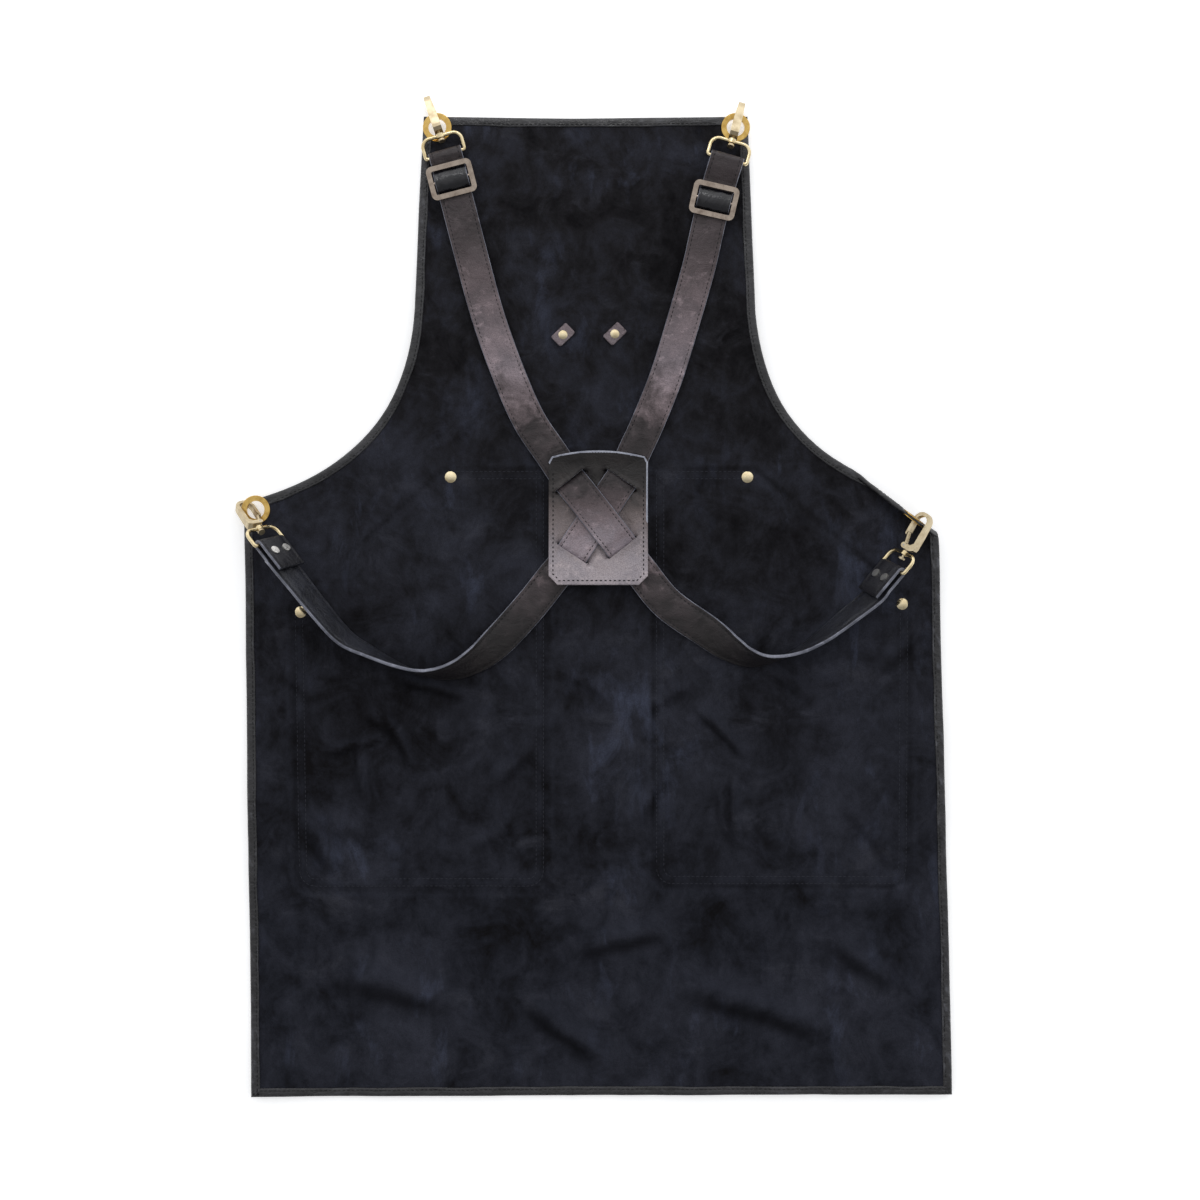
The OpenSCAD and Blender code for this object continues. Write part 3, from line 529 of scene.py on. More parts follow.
SEAM_THREAD = thread_material("seam_thread", (0.016, 0.018, 0.03))


# ---- The lie of the hide ----

CURL_AT = np.array([276.4, 71.6])
CURL_DIR = math.radians(-36.7)
CURL_ANGLE = math.radians(100)
CURL_ALONG = np.array([math.cos(CURL_DIR), math.sin(CURL_DIR)])
CURL_ACROSS = np.array([-math.sin(CURL_DIR), math.cos(CURL_DIR)])
# How far before and after the fold line the bend reaches.
BEND_BEFORE = 14.0
BEND_AFTER = 1.6
# How far the hide drops from the pockets to the surface.
DROP = 6.2

# Hollows where the hide sags between its supports: x, y, radius, depth.
SAGS = [
    (-225, 92, 38, 3.4), (-178, 158, 34, 3.6), (-158, 300, 45, 2.6),
    (205, 98, 34, 3.0), (165, 175, 34, 3.4), (141, 330, 45, 2.4), (0, 330, 60, 1.4),
    (-60, 260, 55, 1.2), (60, 180, 40, 1.0), (5, -120, 26, 2.2), (5, -30, 24, 1.6),
]
# Creases: two ends, height and half width. Each has a painted highlight on its crest and painted shade
# beside it.
CREASES = [
    ((-186, -92), (-157, -146), 2.4, 5), ((-200, -98), (-178, -112), 1.4, 5),
    ((-238, -132), (-203, -122), 1.8, 5), ((-206, -126), (-186, -116), 1.4, 4),
    ((-204, -128), (-200, -172), 1.4, 5), ((88, -90), (134, -134), 1.6, 7),
    ((120, -150), (126, -215), 1.5, 7), ((108, -165), (118, -205), 1.0, 6),
    ((240, -60), (284, -24), 1.0, 8), ((40, -95), (80, -70), 1.2, 8),
    ((-120, -30), (-95, -75), 1.0, 9), ((-20, -300), (60, -282), 1.6, 12),
    ((-250, -190), (-225, -235), 1.2, 8), ((70, -330), (210, -372), 1.9, 14),
    ((-230, -320), (-120, -345), 1.8, 15), ((190, 60), (222, 20), 0.35, 8),
    ((-60, -345), (10, -395), 1.6, 13), ((205, -290), (262, -330), 1.4, 12),
    ((-176, -66), (-112, -82), 1.6, 6), ((-60, -130), (-96, -160), 1.2, 8),
    ((30, -190), (58, -150), 1.2, 9), ((-110, -215), (-70, -190), 0.9, 7),
    ((-270, -60), (-244, -84), 1.0, 7), ((150, -60), (196, -82), 0.9, 8),
    ((-24, -60), (16, -84), 0.9, 8), ((226, -180), (262, -226), 1.0, 8),
]


def held_down(p):
    """0 at a rivet or grommet, 1 away from them."""
    free = np.ones(len(p))
    for centres, r in ((GROMMETS, 14), (POCKET_RIVETS, 6), (TAB_RIVETS, 12)):
        for centre in centres:
            free *= step(r, r + 16, np.linalg.norm(p - centre, axis=1))
    return free


def creases(p):
    """Height of the creases, and their painted light: 1 for a painted highlight on a crest, -1 for painted
    shade beside it.
    """
    rise = np.zeros(len(p))
    painted_relief_light = np.zeros(len(p))
    for a, b, height, width in CREASES:
        a, b = np.array(a, float), np.array(b, float)
        reach = np.linalg.norm(b - a) / 2 + 4 * width
        near = np.where(np.linalg.norm(p - (a + b) / 2, axis=1) < reach)[0]
        q = p[near]
        way = unit(b - a)
        off = (q - a) @ np.array([-way[1], way[0]]) + 2.2 * waves(q[:, 0], q[:, 1], 14, 19)
        t = ((q - a) @ way) / np.linalg.norm(b - a)
        ease = step(-0.12, 0.3, t) * step(1.12, 0.7, t)
        crest = np.exp(-((off / width) ** 2))
        rise[near] += height * ease * crest
        # A band of painted shade runs along one side of each crest.
        side = -1 if way[0] >= 0 else 1
        dark = np.exp(-(((off - side * width * 0.9) / (width * 0.6)) ** 2))
        painted_relief_light[near] += ease * min(1, height / 1.6) * (0.5 * crest - 1.1 * dark)
    return rise, np.clip(painted_relief_light, -1, 1)


def hide_rise(p):
    """Height of the hide's middle above its height where the pockets hold it up."""
    x, y = p[:, 0], p[:, 1]
    hem = step(-256, -345, y)
    low = step(60, 10, y)
    left = step(-262, -301, x) * low
    right = step(276, 308, x) * step(30, -30, y)
    drop = DROP * (1 - (1 - hem) * (1 - 0.62 * left) * (1 - 0.62 * right))
    ripple = 0.5 + 0.5 * waves(x, y, 95, 3)
    edge = np.maximum(hem, np.maximum(left, right))
    rise = -drop + edge * 2.6 * ripple * (drop / DROP)
    for cx, cy, r, depth in SAGS:
        rise = rise - depth * np.exp(-((x - cx) ** 2 + (y - cy) ** 2) / (r * r))
    loose = step(-60, -110, y)
    rise = rise + (0.5 + 1.3 * loose) * waves(x, y, 58, 5)
    rise = rise + (0.25 + 0.45 * loose) * waves(x, y, 24, 7)
    rise = rise + 0.16 * waves(x, y, 10, 11) * (0.4 + loose)
    rise = rise + creases(p)[0]
    for entry in POCKETS.values():
        d = loop_distance(p, entry["loop"])
        welt = 0.5 * np.exp(-(((d - 5.5) / 4) ** 2)) - 0.3 * np.exp(-((d / 2.6) ** 2))
        rise = rise + welt * (0.3 + 0.7 * loose)
    soften = 0.4
    knee = 3.0 * loose
    rise = np.where(rise > knee, knee + soften * np.tanh((rise - knee) / soften), rise)
    rise = np.maximum(rise, -6.0)
    a = (p - CURL_AT) @ CURL_ALONG
    s = (p - CURL_AT) @ CURL_ACROSS
    near_curl = step(-40, -16, s) * step(-105, -75, a)
    return rise * held_down(p) * (1 - near_curl)


def lie(p, lift):
    """Points at a height lift above the hide's middle, with the right corner curled up."""
    p = np.asarray(p, float)
    rise = hide_rise(p) + lift
    a = (p - CURL_AT) @ CURL_ALONG
    s = (p - CURL_AT) @ CURL_ACROSS
    angle = CURL_ANGLE * step(-90, -48, a)
    spread = BEND_BEFORE - BEND_AFTER
    inner = np.clip(BEND_BEFORE**2 - spread * (BEND_BEFORE + s), 0, None)
    u = np.clip((BEND_BEFORE - np.sqrt(inner)) / spread, 0, 1)
    bent = (a > -90) & (s > -BEND_BEFORE)
    beyond = bent & (s > BEND_AFTER)
    out_s = -((1 - u) ** 2) * BEND_BEFORE + u * u * BEND_AFTER * np.cos(angle)
    out_z = u * u * BEND_AFTER * np.sin(angle)
    out_s = np.where(beyond, s * np.cos(angle), out_s)
    out_z = np.where(beyond, s * np.sin(angle), out_z)
    run_s = (1 - u) * BEND_BEFORE + u * BEND_AFTER * np.cos(angle)
    run_z = u * BEND_AFTER * np.sin(angle)
    length = np.hypot(run_s, run_z)
    out_s = np.where(bent, out_s - rise * run_z / length, s)
    out_z = np.where(bent, out_z + rise * run_s / length, rise)
    flat = CURL_AT + a[:, None] * CURL_ALONG + out_s[:, None] * CURL_ACROSS
    return np.column_stack([flat, HIDE_MID + out_z])


def up_from(p, lift):
    """The hide's outward direction at each point."""
    return unit(lie(p, lift + 1.0) - lie(p, lift))


# ---- Outline, pockets and their seams ----

WAIST_RIGHT = (298, 92)
WAIST_LEFT = (-306.5, 85)
BIB_RIGHT = (132, 421)
BIB_LEFT = (-150, 421)
RUNS = {
    "binding_hem": [(-301, -434), (-120, -433.6), (150, -432.2), (311, -432)],
    "binding_side_right": [(311, -432), (308.6, -310), (305, -190), (301, -40), WAIST_RIGHT],
    "binding_armhole_right": [*bow(WAIST_RIGHT, (152, 112), (139, 250)), (135.5, 340), BIB_RIGHT],
    "binding_top": [BIB_RIGHT, (70, 420.2), (-20, 419.4), (-90, 420.2), BIB_LEFT],
    "binding_armhole_left": [BIB_LEFT, (-154.5, 340), *bow((-158, 254), (-165, 122), WAIST_LEFT)],
    "binding_side_left": [WAIST_LEFT, (-305.8, -40), (-304, -174), (-302, -330), (-301, -434)],
}
RUNS = {name: evenly(run, 2.0) for name, run in RUNS.items()}
OUTLINE = np.concatenate([run[:-1] for run in RUNS.values()])
CORNER_R = 16.0


def corner(cx, cy, start):
    """A quarter circle of points from the start angle in degrees."""
    t = np.radians(start + np.arange(0, 91, 15))
    return np.column_stack([cx + CORNER_R * np.cos(t), cy + CORNER_R * np.sin(t)])


def pocket_loop(left, right, low, tail):
    """A pocket's outline: rounded lower corners, then the rest of its corners."""
    rise = low + CORNER_R
    lower = [corner(left + CORNER_R, rise, 180), corner(right - CORNER_R, rise, 270)]
    return np.concatenate(lower + [np.array(tail, float)])


POCKETS = {
    "pocket_left": {
        "loop": pocket_loop(-260, -43.5, -251, [(-43.5, 114), (-133, 114), (-264, -4)]),
        "mouth": (np.array([-133.0, 114]), np.array([-264.0, -4])),
    },
    "pocket_right": {
        "loop": pocket_loop(50.5, 272, -249, [(273.5, 3), (139, 114), (50.5, 114)]),
        "mouth": (np.array([273.5, 3.0]), np.array([139.0, 114])),
    },
}


def mitres():
    """Inward direction at each point of the outline, long enough to mitre a corner."""
    back = unit(OUTLINE - np.roll(OUTLINE, 1, axis=0))
    ahead = unit(np.roll(OUTLINE, -1, axis=0) - OUTLINE)
    p = left_of(back)
    q = left_of(ahead)
    return (p + q) / (1 + (p * q).sum(1))[:, None]


INWARD = mitres()


def hide():
    """The suede panel, a sheet that lies over the pockets and sags round them."""
    bend = []
    for s in np.arange(-14, 3, 1.2):
        a = np.arange(-88, 34, 3.0)
        bend.append(CURL_AT + a[:, None] * CURL_ALONG + s * CURL_ACROSS)
    holes = [circle(g, HOLE_R) for g in GROMMETS]
    verts, tris = triangulate([OUTLINE + INWARD * BINDING_T] + holes, 3.5, bend)
    piece = slab("apron_hide", verts, tris, lie, HIDE_T, [SUEDE, FRONT_LEATHER, RAW_EDGE])
    # Painted shade and highlight for the suede's colour: from the creases, and along each pocket seam
    # painted shade in its groove and a painted highlight on the welt beside it.
    painted_relief_light = creases(verts)[1]
    for entry in POCKETS.values():
        d = loop_distance(verts, entry["loop"])
        patchy = 0.55 + 0.45 * waves(verts[:, 0], verts[:, 1], 30, 23)
        highlit = 0.45 * np.exp(-(((d - 5.4) / 2.2) ** 2))
        dark = 0.7 * np.exp(-((d / 2.4) ** 2))
        painted_relief_light += patchy * (highlit - dark)
    set_painted_relief_light(piece, np.tile(painted_relief_light, 2))
    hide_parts("apron_panel")
    return piece


# Height of the puckers in each binding, and half of the binding's C section from its inner
# edge to the fold: share of the width, share of the thickness.
PUCKER = {
    "binding_side_right": 0.6, "binding_side_left": 0.4,
    "binding_armhole_left": 0.35, "binding_top": 0.3,
}
BINDING_SECTION = [
    (1.0, 0.0), (0.98, 0.62), (0.88, 0.95), (0.72, 0.8), (0.5, 1.16), (0.22, 1.08), (0.06, 0.6),
]


def binding(name):
    """A strip of leather folded round the edge, tucked under the grommets."""
    run = RUNS[name]
    start = int(np.argmin(np.linalg.norm(OUTLINE - run[0], axis=1)))
    pick = (start + np.arange(len(run))) % len(OUTLINE)
    edge, inward = OUTLINE[pick], INWARD[pick]
    away = np.min([np.linalg.norm(edge + inward * 3 - g, axis=1) for g in GROMMETS], axis=0)
    thick = BINDING_T * step(11, 16, away) - 0.05 * step(16, 11, away)
    width = np.full(len(edge), BINDING_W)
    width += 0.5 * waves(edge[:, 0] + edge[:, 1], 0 * edge[:, 0], 23, 2)
    for i in range(len(edge)):
        while width[i] > 1.4:
            inner = edge[i] + inward[i] * width[i]
            if np.min(np.linalg.norm(GROMMETS - inner, axis=1)) > 10.2:
                break
            width[i] -= 0.4
    pucker = PUCKER.get(name, 0.2)
    length = np.arange(len(edge)) * 2.0
    half = HIDE_T / 2
    profile = [(share, -1, fill) for share, fill in BINDING_SECTION]
    profile += [(share, 1, fill) for share, fill in BINDING_SECTION[::-1]]
    rings = []
    painted_relief_rows = []
    for k, (share, side, fill) in enumerate(profile):
        ripple = pucker * waves(length, 0 * length + 31 * share, 4.4, 17) * (0.2 < share < 0.95)
        ripple = ripple + 0.15 * waves(length, 0 * length + 9 * share, 26, 18)
        lift = side * (half + thick * fill + np.maximum(ripple, -0.25))
        if share < 0.1:
            lift = side * (half + thick) * 0.62
        rings.append(lie(edge + inward * (width * share)[:, None], lift))
        # Painted highlight on the puckers' crests, painted shade in their troughs and along the stitch
        # groove.
        painted_relief_rows.append(1.6 * ripple - 0.5 * (share == 0.72))
        if k == len(profile) // 2 - 1:
            rings.append(lie(edge, 0 * length))
            painted_relief_rows.append(0 * length)
    # Painted shade at the binding's inner edge, where it meets the suede.
    painted_relief_rows += [0 * length - 1] * 2
    for side in (1, -1):
        rings.append(lie(edge + inward * (width * 0.97)[:, None], side * 0.98 * half + 0 * length))
    piece = tube(name + "_leather", np.stack(rings, 1), [BINDING])
    set_painted_relief_light(piece, np.stack(painted_relief_rows, 1).ravel())
    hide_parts(name)
    row = edge + inward * (width * 0.72)[:, None]
    clear = away > 15.5
    rows = []
    for side in (1, -1):
        lift = side * (half + BINDING_T + 0.02 + 0 * length)
        line, normal = lie(row, lift), up_from(row, lift) * side
        for part in runs_of(clear):
            if len(part) > 2:
                rows.append((line[part], normal[part]))
    threads = stitch_rows(name + "_stitches", rows, THREAD, 0.36)
    return [piece, threads]


def runs_of(mask):
    """Index runs over which the mask holds."""
    cuts = np.where(np.diff(mask.astype(int)) != 0)[0] + 1
    return [part for part in np.split(np.arange(len(mask)), cuts) if mask[part[0]]]

def pocket(name):
    """A pocket of smooth leather under the hide: sewn flat at its rim, full inside."""
    loop = closed_evenly(POCKETS[name]["loop"], 5.0)
    verts, tris = triangulate([loop], 7.0)
    mouth = POCKETS[name]["mouth"]

    def place(p, lift):
        sewn = np.full(len(p), 1e9)
        for a, b in zip(loop, np.roll(loop, -1, axis=0)):
            middle = (a + b) / 2
            if segment_distance(middle[None], *mouth)[0] > 0.5:
                sewn = np.minimum(sewn, segment_distance(p, a, b))
        full = step(3.0, 17, sewn)
        gap = np.min([np.linalg.norm(p - q, axis=1) for q in POCKET_RIVETS], axis=0)
        full = full * step(5.5, 15, gap)
        under = HIDE_MID + hide_rise(p) - HIDE_T / 2 - 0.9
        low = 0.8 + 0.25 * (1 + waves(p[:, 0], p[:, 1], 60, 9))
        z = under * (1 - full) + np.minimum(low, under) * full
        return np.column_stack([p, z + lift])

    materials = [FRONT_LEATHER, FRONT_LEATHER, RAW_EDGE]
    piece = slab(name + "_leather", verts, tris, place, 1.6, materials)
    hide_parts(name)
    return piece


def seam_rows(loop, depths, mouth):
    """Pocket stitching as it shows on the suede side."""
    rows = []
    loop = evenly(np.concatenate([loop, loop[:1]]), 4.0)
    ahead = unit(np.gradient(loop, axis=0))
    inward = left_of(ahead)
    off_mouth = segment_distance(loop, *mouth) > 1.0
    for d in depths:
        line = loop + inward * d
        for part in runs_of(off_mouth):
            if len(part) > 3:
                p = line[part]
                lift = np.full(len(p), HIDE_T / 2 + 0.02)
                rows.append((lie(p, lift), up_from(p, lift)))
    return rows


# ---- Harness ----

HOOKS = {
    "TL": (-134.9, 402.2, 15.9), "TR": (117.6, 396.6, 18.9),
    "SL": (-289.4, 61.4, 27.3), "SR": (265.4, 40.1, 26.3),
}
RINGS = {"TL": (106, -1.2, 0), "TR": (74, 6, 0), "SL": (130, 15, -124), "SR": (50, 2, 120)}
SLIDES = {"left": ((-124.9, 363.6, 18.2), 104.5, -5), "right": ((102.2, 345.7, 17.9), 77.1, -3.5)}
LOW_Z = 11.6
EDGE_Z = 24.4
ON_PATCH_Z = 17.1
OVER_Z = 20.5

# Points of each route: x, y, height and bank in degrees.
ROUTES = {
    "strap_left": [
        (-129.8, 384.2, 18.8, 0), (-129, 381, 17.6, 0), (-128, 377.3, 16.6, 0),
        (-124.9, 363.6, 15.9, 0), (-117.4, 334.6, 14.2, 0),
        (-109.9, 305.5, 12.7, 0), (-94, 247, 12, 0), (-75, 194, LOW_Z, 0),
        (-58, 156, LOW_Z, 0), (-38, 126, LOW_Z, 0), (-26.2, 108.2, LOW_Z, 0),
        (-18.8, 98.8, ON_PATCH_Z, 0), (-13.6, 92.2, OVER_Z, 0), (0.3, 74.5, OVER_Z, 0),
        (14.1, 56.8, OVER_Z, 0), (19.3, 50.2, ON_PATCH_Z, 0), (26.7, 40.8, LOW_Z, 0),
        (39, 25, LOW_Z, 0), (62, -3, LOW_Z + 0.5, 2), (96, -27, 15.6, 15),
        (117, -42, 20.2, 40), (134, -50, 23, 60), (152, -51, EDGE_Z, 78),
        (172, -45, EDGE_Z, 92), (192, -34, EDGE_Z, 104), (211, -19, EDGE_Z, 113),
    ],
    "strap_right": [
        (110.6, 372.8, 22.3, 0), (108.5, 366.1, 19, 0), (106.8, 360.4, 16.9, 0),
        (102.2, 345.7, 15.8, 0), (95.5, 316.5, 14.2, 0), (88.8, 287.2, 12.7, 0),
        (75, 239, 12, 0), (61, 194, LOW_Z, 0), (45, 154, LOW_Z, 0), (33, 128, LOW_Z, 0),
        (25.3, 109.5, LOW_Z, 0), (18.7, 99.5, ON_PATCH_Z, 0), (0.8, 72.5, ON_PATCH_Z, 0),
        (-17.2, 45.5, ON_PATCH_Z, 0), (-23.8, 35.5, LOW_Z, 0),
        (-37, 20, LOW_Z, 0), (-56, -4, LOW_Z + 0.5, -2), (-82, -33, 15.6, -15),
        (-103, -51, 20.2, -40), (-124, -61, 23, -60), (-147, -63, EDGE_Z, -78),
        (-171, -56, EDGE_Z, -92), (-196, -44, EDGE_Z + 0.6, -104), (-221, -28, EDGE_Z + 1.4, -115),
    ],
}
UNDER = {
    "strap_left": [(-124.9, 363.6, 12.6)],
    "strap_right": [(102.2, 345.7, 12.6), (106.8, 360.4, 13.6)],
}
ENDS = {"strap_left": ("TL", "SR"), "strap_right": ("TR", "SL")}


def wrap_point(end, angle):
    """A point of the strap's middle where it wraps the ring's bar, and its outward way."""
    x_axis, _, z_axis = rotation(*RINGS[end])
    bar = np.array(HOOKS[end]) - x_axis * RING_REACH
    out = z_axis * math.cos(angle) + x_axis * math.sin(angle)
    return bar + out * WRAP_R, out


def smooth_route(route, steps=8):
    """Catmull-Rom curve through the route's points."""
    route = np.asarray(route, float)
    n = len(route) - 1
    t = (np.arange(steps) / steps)[:, None]
    out = []
    for i in range(n):
        a, b, c, d = (route[k] for k in (max(i - 1, 0), i, i + 1, min(i + 2, n)))
        curve = 2 * b + (c - a) * t + (2 * a - 5 * b + 4 * c - d) * t**2
        out.append((curve + (3 * b - a - 3 * c + d) * t**3) / 2)
    return np.concatenate(out + [route[-1:]])


def strap_stations(name):
    """Middle, width direction and outward direction along a whole strap."""
    top, side = ENDS[name]
    _, y_top, _ = rotation(*RINGS[top])
    stations = [(np.array(p), -y_top, np.array([0, 0, -1.0])) for p in UNDER[name]]
    for angle in np.linspace(math.pi, 0, 11):
        at, out = wrap_point(top, angle)
        stations.append((at, -y_top, out))
    x_side, y_side, _ = rotation(*RINGS[side])
    start, _ = wrap_point(top, 0)
    finish, _ = wrap_point(side, 0)
    bank = RINGS[side][2]
    route = [(*start, 0)] + ROUTES[name]
    route += [(*(finish - x_side * back), bank) for back in (30, 18, 8, 0)]
    fine = smooth_route(route)
    for before, here, after in zip(fine[:-2], fine[1:-1], fine[2:]):
        ahead = unit(after[:3] - before[:3])
        level = unit(np.array([-ahead[1], ahead[0], 0]))
        angle = math.radians(here[3])
        across = level * math.cos(angle) + np.cross(ahead, level) * math.sin(angle)
        stations.append((here[:3], across, np.cross(ahead, across)))
    for angle in np.linspace(0, math.pi, 11):
        at, out = wrap_point(side, angle)
        stations.append((at, y_side, out))
    at, out = wrap_point(side, math.pi)
    for back in (10, 20, FOLD_LEN):
        stations.append((at - x_side * back, y_side, out))
    return stations


def strap_profile(thickness, r=1.0, dome=0.12):
    """Rounded section of a strap with a slight crown, and grooves where it is stitched."""
    w, t = STRAP_W / 2, thickness / 2
    round_off = np.radians([0, 30, 60, 90])
    upper = [(w - r + r * math.cos(a), t - r + r * math.sin(a)) for a in round_off]
    groove = w - STITCH_IN
    upper += [(groove + 0.8, t), (groove, t - 0.3), (groove - 0.8, t + dome * 0.5)]
    upper += [(w * 0.4, t + dome), (0.0, t + dome)]
    face = upper + [(-x, y) for x, y in upper[-2::-1]]
    profile = face + [(-x, -y) for x, y in face]
    slots = []
    for (x0, y0), (x1, y1) in zip(profile, profile[1:] + profile[:1]):
        edge = abs(x0) > w - r * 0.6 and abs(x1) > w - r * 0.6
        slots.append(1 if edge else (0 if y0 + y1 > 0 else 2))
    return profile, slots


def ribbon(name, stations, thickness, materials, body="apron", ripple=0.0):
    """A strap through its stations. Its ripple fades where a slide runs and at the rivets."""
    profile, slots = strap_profile(thickness)
    rings = []
    run = 0.0
    for i, (at, across, out) in enumerate(stations):
        run += np.linalg.norm(at - stations[i - 1][0]) if i else 0
        ring = []
        below_slide = 0.12 + 0.88 * float(step(278, 255, at[1]))
        calm = ripple * float(step(0, 24, len(stations) - 14 - i)) * below_slide
        for w, t in profile:
            long_wave = calm * float(waves(run, w * 0.7 + 50, 17, 13))
            short_wave = 0.6 * calm * float(waves(run, w + 9, 7, 14))
            ring.append(at + across * w + out * (t + (long_wave + short_wave)))
        rings.append(ring)
    return tube(name, rings, materials, body, slots)


def strap(name):
    """A strap from its top ring to its side ring, with two rows of stitches on each face."""
    stations = strap_stations(name)
    materials = [STRAP, EDGE_PAINT, STRAP_BACK]
    piece = ribbon(name + "_leather", stations, STRAP_T, materials, ripple=0.28)
    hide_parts(name)
    rows = []
    for side in (1, -1):
        for across in (-1, 1):
            depth = side * (STRAP_T / 2 - 0.2)
            off = across * (STRAP_W / 2 - STITCH_IN)
            line = np.array([s[0] + s[1] * off + s[2] * depth for s in stations])
            normal = np.array([s[2] * side for s in stations])
            rows.append((line, normal))
    stitch_rows(name + "_stitches", rows, THREAD, 0.46, 2.3)


def hump(side):
    """The strap where it passes over the slide's bar, polished by wear."""
    place, yaw, pitch = SLIDES[side]
    x_axis, y_axis, z_axis = rotation(yaw, pitch, 0)
    stations = []
    for angle in np.linspace(math.radians(152), math.radians(28), 22):
        out = x_axis * math.cos(angle) + z_axis * math.sin(angle)
        at = np.array(place) + out * 9.75 - z_axis * 5.5
        stations.append((at, -y_axis, out))
    name = "strap_hump_" + side
    materials = [GLOSSY, EDGE_PAINT, STRAP_BACK]
    piece = ribbon(name + "_leather", stations, 2.3, materials, "slide_" + side)
    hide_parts(name)


# ---- Back patch ----

PATCH_Z = 14.3
SLIT_HALF = 15.4
# Slits: middle, direction of the strap on its way into the patch.
SLITS = [
    ((-22.5, 103.5), -51.9), ((23, 45.5), 128.1),
    ((22, 104.5), -123.6), ((-20.5, 40.5), 56.4),
]


def patch_outline():
    half, low = PATCH_W / 2, -PATCH_H / 2
    side_top = PATCH_H / 2 - 5
    u = np.linspace(1, -1, 17)
    top = np.column_stack([half * 0.93 * u, side_top + 5 * (1 - u * u)])
    corners = [(-half + 8, low), (half - 8, low), (half, low + 8), (half, side_top - 5)]
    ends = [(-half, side_top - 5), (-half, low + 8)]
    loop = np.concatenate([np.array(corners), top, np.array(ends)]) + PATCH_MID
    return closed_evenly(loop, 2.5)


def slit_loop(middle, turn):
    """A slit's outline, wide enough for a strap."""
    along, across = axes(turn)
    corners = [(-0.7, -1), (0.7, -1), (0.7, 1), (-0.7, 1)]
    loop = np.array([np.array(middle) + along * u + across * v * SLIT_HALF for u, v in corners])
    return closed_evenly(loop, 1.6)


def patch_place(p, lift):
    """The patch bows up at its top edge and parts round the straps at its slits."""
    x, y = p[:, 0] - PATCH_MID[0], p[:, 1] - PATCH_MID[1]
    z = PATCH_Z + 2.6 * step(18, 50, y)
    z = z + 5.5 * step(41, 60, y) ** 1.4 * (1 - 0.2 * (x / 43) ** 2)
    z = z + 6.0 * step(-8, -70, y)
    z = z - 1.2 * np.exp(-(((y + 2) / 22) ** 2)) * step(28, 43, np.abs(x))
    z = z + 0.35 * waves(p[:, 0], p[:, 1], 19, 4)
    for middle, turn in SLITS:
        along, across = axes(turn)
        q = (p - np.array(middle)) @ along
        w = (p - np.array(middle)) @ across
        strap_z = np.clip(14.35 + 0.5 * q, LOW_Z, ON_PATCH_Z)
        ease = step(SLIT_HALF + 5, SLIT_HALF - 0.5, np.abs(w)) * step(18, 9, np.abs(q))
        over = np.maximum(z, strap_z + 2.95)
        under = np.minimum(z, strap_z - 2.95)
        z = z + ease * (np.where(q < 0, over, under) - z)
    return np.column_stack([p, z + lift])


def back_patch():
    """The patch that the straps cross through, with pale edge paint on its cut edges and a painted
    highlight along its curled-up top rim.
    """
    loop = patch_outline()
    ahead = unit(np.roll(loop, -1, axis=0) - np.roll(loop, 1, axis=0))
    inward = left_of(ahead)
    slits = [slit_loop(*s) for s in SLITS]
    verts, tris = triangulate([loop] + slits, 2.4, [loop + inward * 1.5])
    materials = [PATCH, STRAP_BACK, EDGE_PAINT_AND_RIM_HIGHLIGHT]
    piece = slab("back_patch_leather", verts, tris, patch_place, PATCH_T, materials)
    # A band of the face along the top rim takes the pale paint as well: a painted highlight where the
    # curled-up rim catches the light.
    middle = verts[tris].mean(1)
    high = middle[:, 1] - PATCH_MID[1] > 22 - 0.6 * (middle[:, 0] - PATCH_MID[0])
    for face in np.where(high & (loop_distance(middle, loop) < 1.3))[0]:
        piece.data.polygons[face].material_index = 2
    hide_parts("back_patch")
    line = loop + inward * 3.8
    line = line[(loop[:, 1] - PATCH_MID[1]) < PATCH_H / 2 - 16]
    start = int(np.argmax(np.linalg.norm(np.diff(line, axis=0), axis=1))) + 1
    line = np.concatenate([line[start:], line[:start]])
    lift = np.full(len(line), PATCH_T / 2 + 0.02)
    up = unit(patch_place(line, lift + 1) - patch_place(line, lift))
    rows = [(patch_place(line, lift), up)]
    threads = stitch_rows("back_patch_stitches", rows, THREAD, 0.58, 2.2)
    return piece, threads


def small_leather(name, middle, length, width, turn, bottom, thickness, material, bend=0.0):
    """A tab or badge: a rounded flat piece with softened edges."""
    along, across = axes(turn)
    r = 1.6
    t = np.radians(np.arange(0, 91, 22.5))
    loop = []
    for k, (sx, sy) in enumerate([(1, 1), (-1, 1), (-1, -1), (1, -1)]):
        c = np.array([sx * (length / 2 - r), sy * (width / 2 - r)])
        for q in t + k * math.pi / 2:
            loop.append(c + r * np.array([math.cos(q), math.sin(q)]))
    loop = np.array([middle + along * u + across * v for u, v in loop])
    loop = closed_evenly(loop, 1.4)
    verts, tris = triangulate([loop], 1.6)

    def place(p, lift):
        u = (p - middle) @ along
        rise = bend * (np.abs(u) / (length / 2)) ** 3
        edge = step(1.2, 0, loop_distance(p, loop)) * 0.35
        return np.column_stack([p, bottom + thickness / 2 + rise + lift - np.sign(lift) * edge])

    materials = [material, material, RAW_EDGE]
    piece = slab(name + "_leather", verts, tris, place, thickness, materials)
    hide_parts(name)


# ---- Making the apron ----

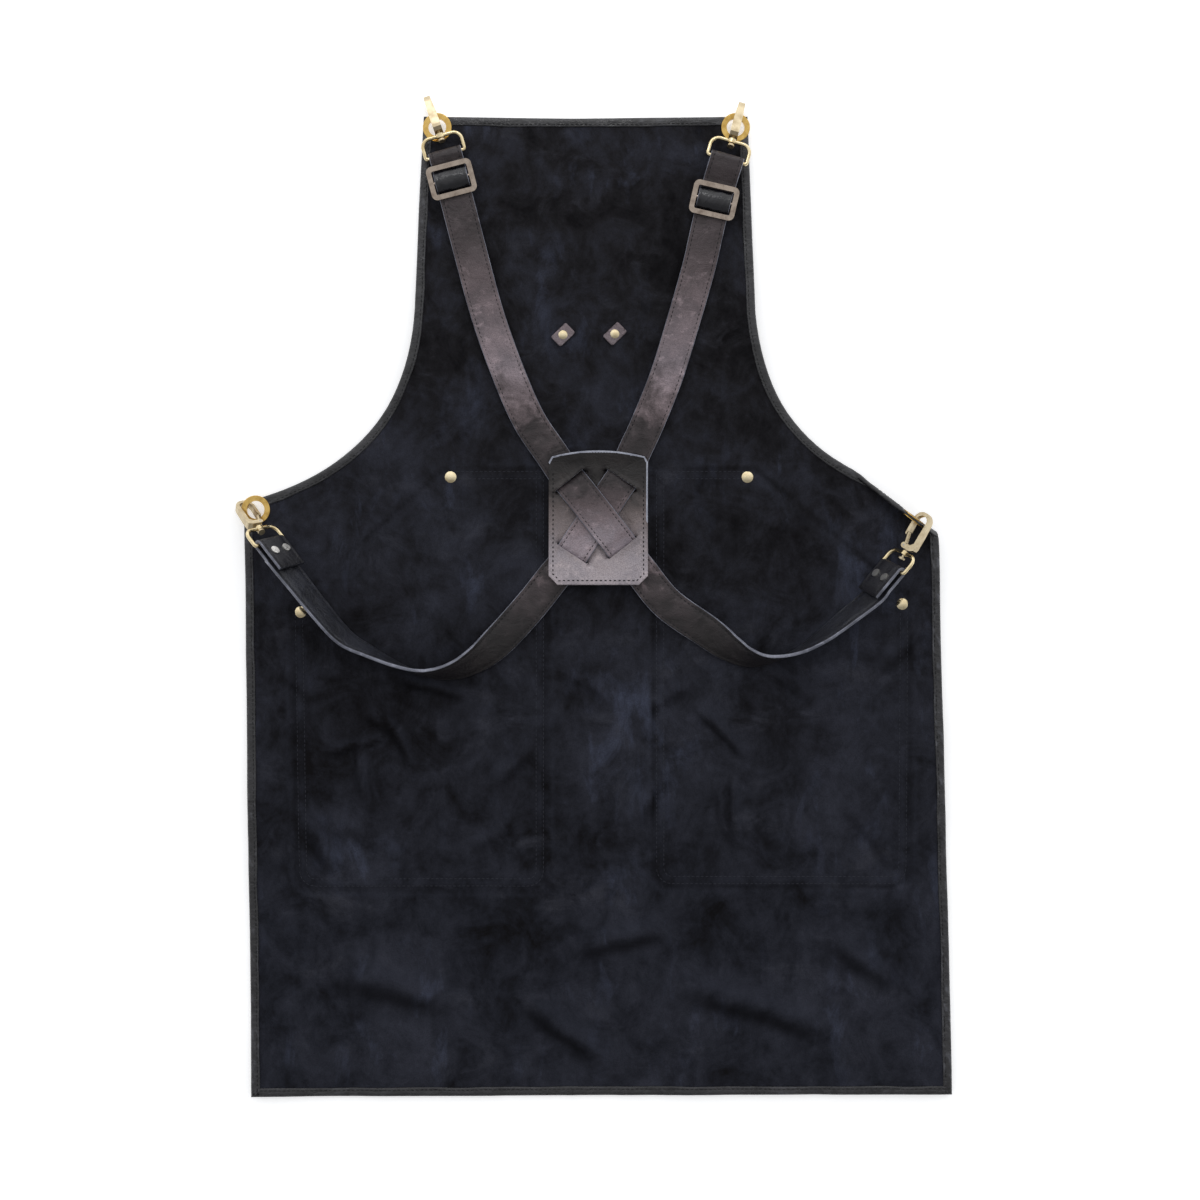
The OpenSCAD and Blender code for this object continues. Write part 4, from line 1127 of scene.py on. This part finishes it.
panel = hide()
bindings = []
for binding_name in RUNS:
    bindings += binding(binding_name)
pockets = [pocket(name) for name in POCKETS]
seams = []
for entry in POCKETS.values():
    seams += seam_rows(entry["loop"], (2.2, 8.5), entry["mouth"])
seam_threads = stitch_rows("pocket_seam_stitches", seams, SEAM_THREAD, 0.3)
for strap_name in ROUTES:
    strap(strap_name)
for slide_side in SLIDES:
    hump(slide_side)
patch, patch_threads = back_patch()
for tab_side, rivet, lift_up in (("left", TAB_RIVETS[0], 1.2), ("right", TAB_RIVETS[1], 1.4)):
    small_leather("bib_tab_" + tab_side, rivet, 18, 12, 44, 9.62, 1.6, STRAP, lift_up)
small_leather("front_badge", TAB_RIVETS.mean(0), 62, 20, 0, 6.1, 1.45, FRONT_LEATHER)

FINISHES = {
    "grommet": GROMMET, "hook": HOOK, "gate": HOOK, "gate_pin": STEEL, "gate_spring": STEEL,
    "ring": RING, "slide_frame": PEWTER, "slide_bar": PEWTER,
    "pocket_rivets": RIVET, "bib_tab_rivets": RIVET, "strap_end_rivets": SILVER,
}
EDGE_RADII = {"slide_frame": 1.1, "hook": 0.8, "gate": 0.6}
for name, node in NODES.items():
    for start in sorted(FINISHES, key=len, reverse=True):
        if name.startswith(start):
            for material_slot in node.material_slots:
                material_slot.material = FINISHES[start]
            if start in EDGE_RADII:
                bevel = node.modifiers.new("rounded_edges", "BEVEL")
                bevel.width = EDGE_RADII[start] * MM
                bevel.segments = 3
                bevel.limit_method = "ANGLE"
                bevel.angle_limit = math.radians(50)
                bevel.harden_normals = True
            break

# ---- Floor, light and camera ----

bpy.ops.mesh.primitive_plane_add(size=8, location=(0, 0, -0.0004))
floor = bpy.context.object
floor.name = "floor"
floor.data.materials.append(paper_material("white_floor"))


def area_light(name, place, size, energy):
    """A square light that faces the origin."""
    light = bpy.data.lights.new(name, "AREA")
    light.size = size
    light.energy = energy
    lamp = bpy.data.objects.new(name, light)
    bpy.context.scene.collection.objects.link(lamp)
    lamp.location = place
    x, y, z = place
    lamp.rotation_euler = (math.acos(z / math.hypot(x, y, z)), 0, math.atan2(-x, y))


area_light("key", (-0.15, 1.7, 1.6), 1.3, 92)
area_light("fill", (0.4, -1.7, 1.3), 1.2, 10)

world = bpy.data.worlds.new("studio")
world.use_nodes = True
sky = world.node_tree
direction = sky.nodes.new("ShaderNodeTexCoord").outputs["Generated"]
split = sky.nodes.new("ShaderNodeSeparateXYZ")
sky.links.new(direction, split.inputs[0])
ramp = sky.nodes.new("ShaderNodeMapRange")
for socket, value in ((1, -0.7), (2, 0.8), (3, 0.32), (4, 1.25)):
    ramp.inputs[socket].default_value = value
sky.links.new(split.outputs[1], ramp.inputs[0])
sky.links.new(ramp.outputs[0], sky.nodes["Background"].inputs["Strength"])
sky.nodes["Background"].inputs["Color"].default_value = (0.97, 0.98, 1, 1)
bpy.context.scene.world = world
bpy.context.scene.view_settings.view_transform = "Standard"

VIEW_WIDTH = 1.044
CAMERA_HEIGHT = 1.45
SENSOR_WIDTH = 36
lens_camera = bpy.data.cameras.new("camera")
lens_camera.sensor_width = SENSOR_WIDTH
lens_camera.lens = SENSOR_WIDTH * CAMERA_HEIGHT / VIEW_WIDTH
camera = bpy.data.objects.new("camera", lens_camera)
camera.location = (0.0035, 0, CAMERA_HEIGHT + 0.01)
bpy.context.scene.collection.objects.link(camera)
bpy.context.scene.camera = camera
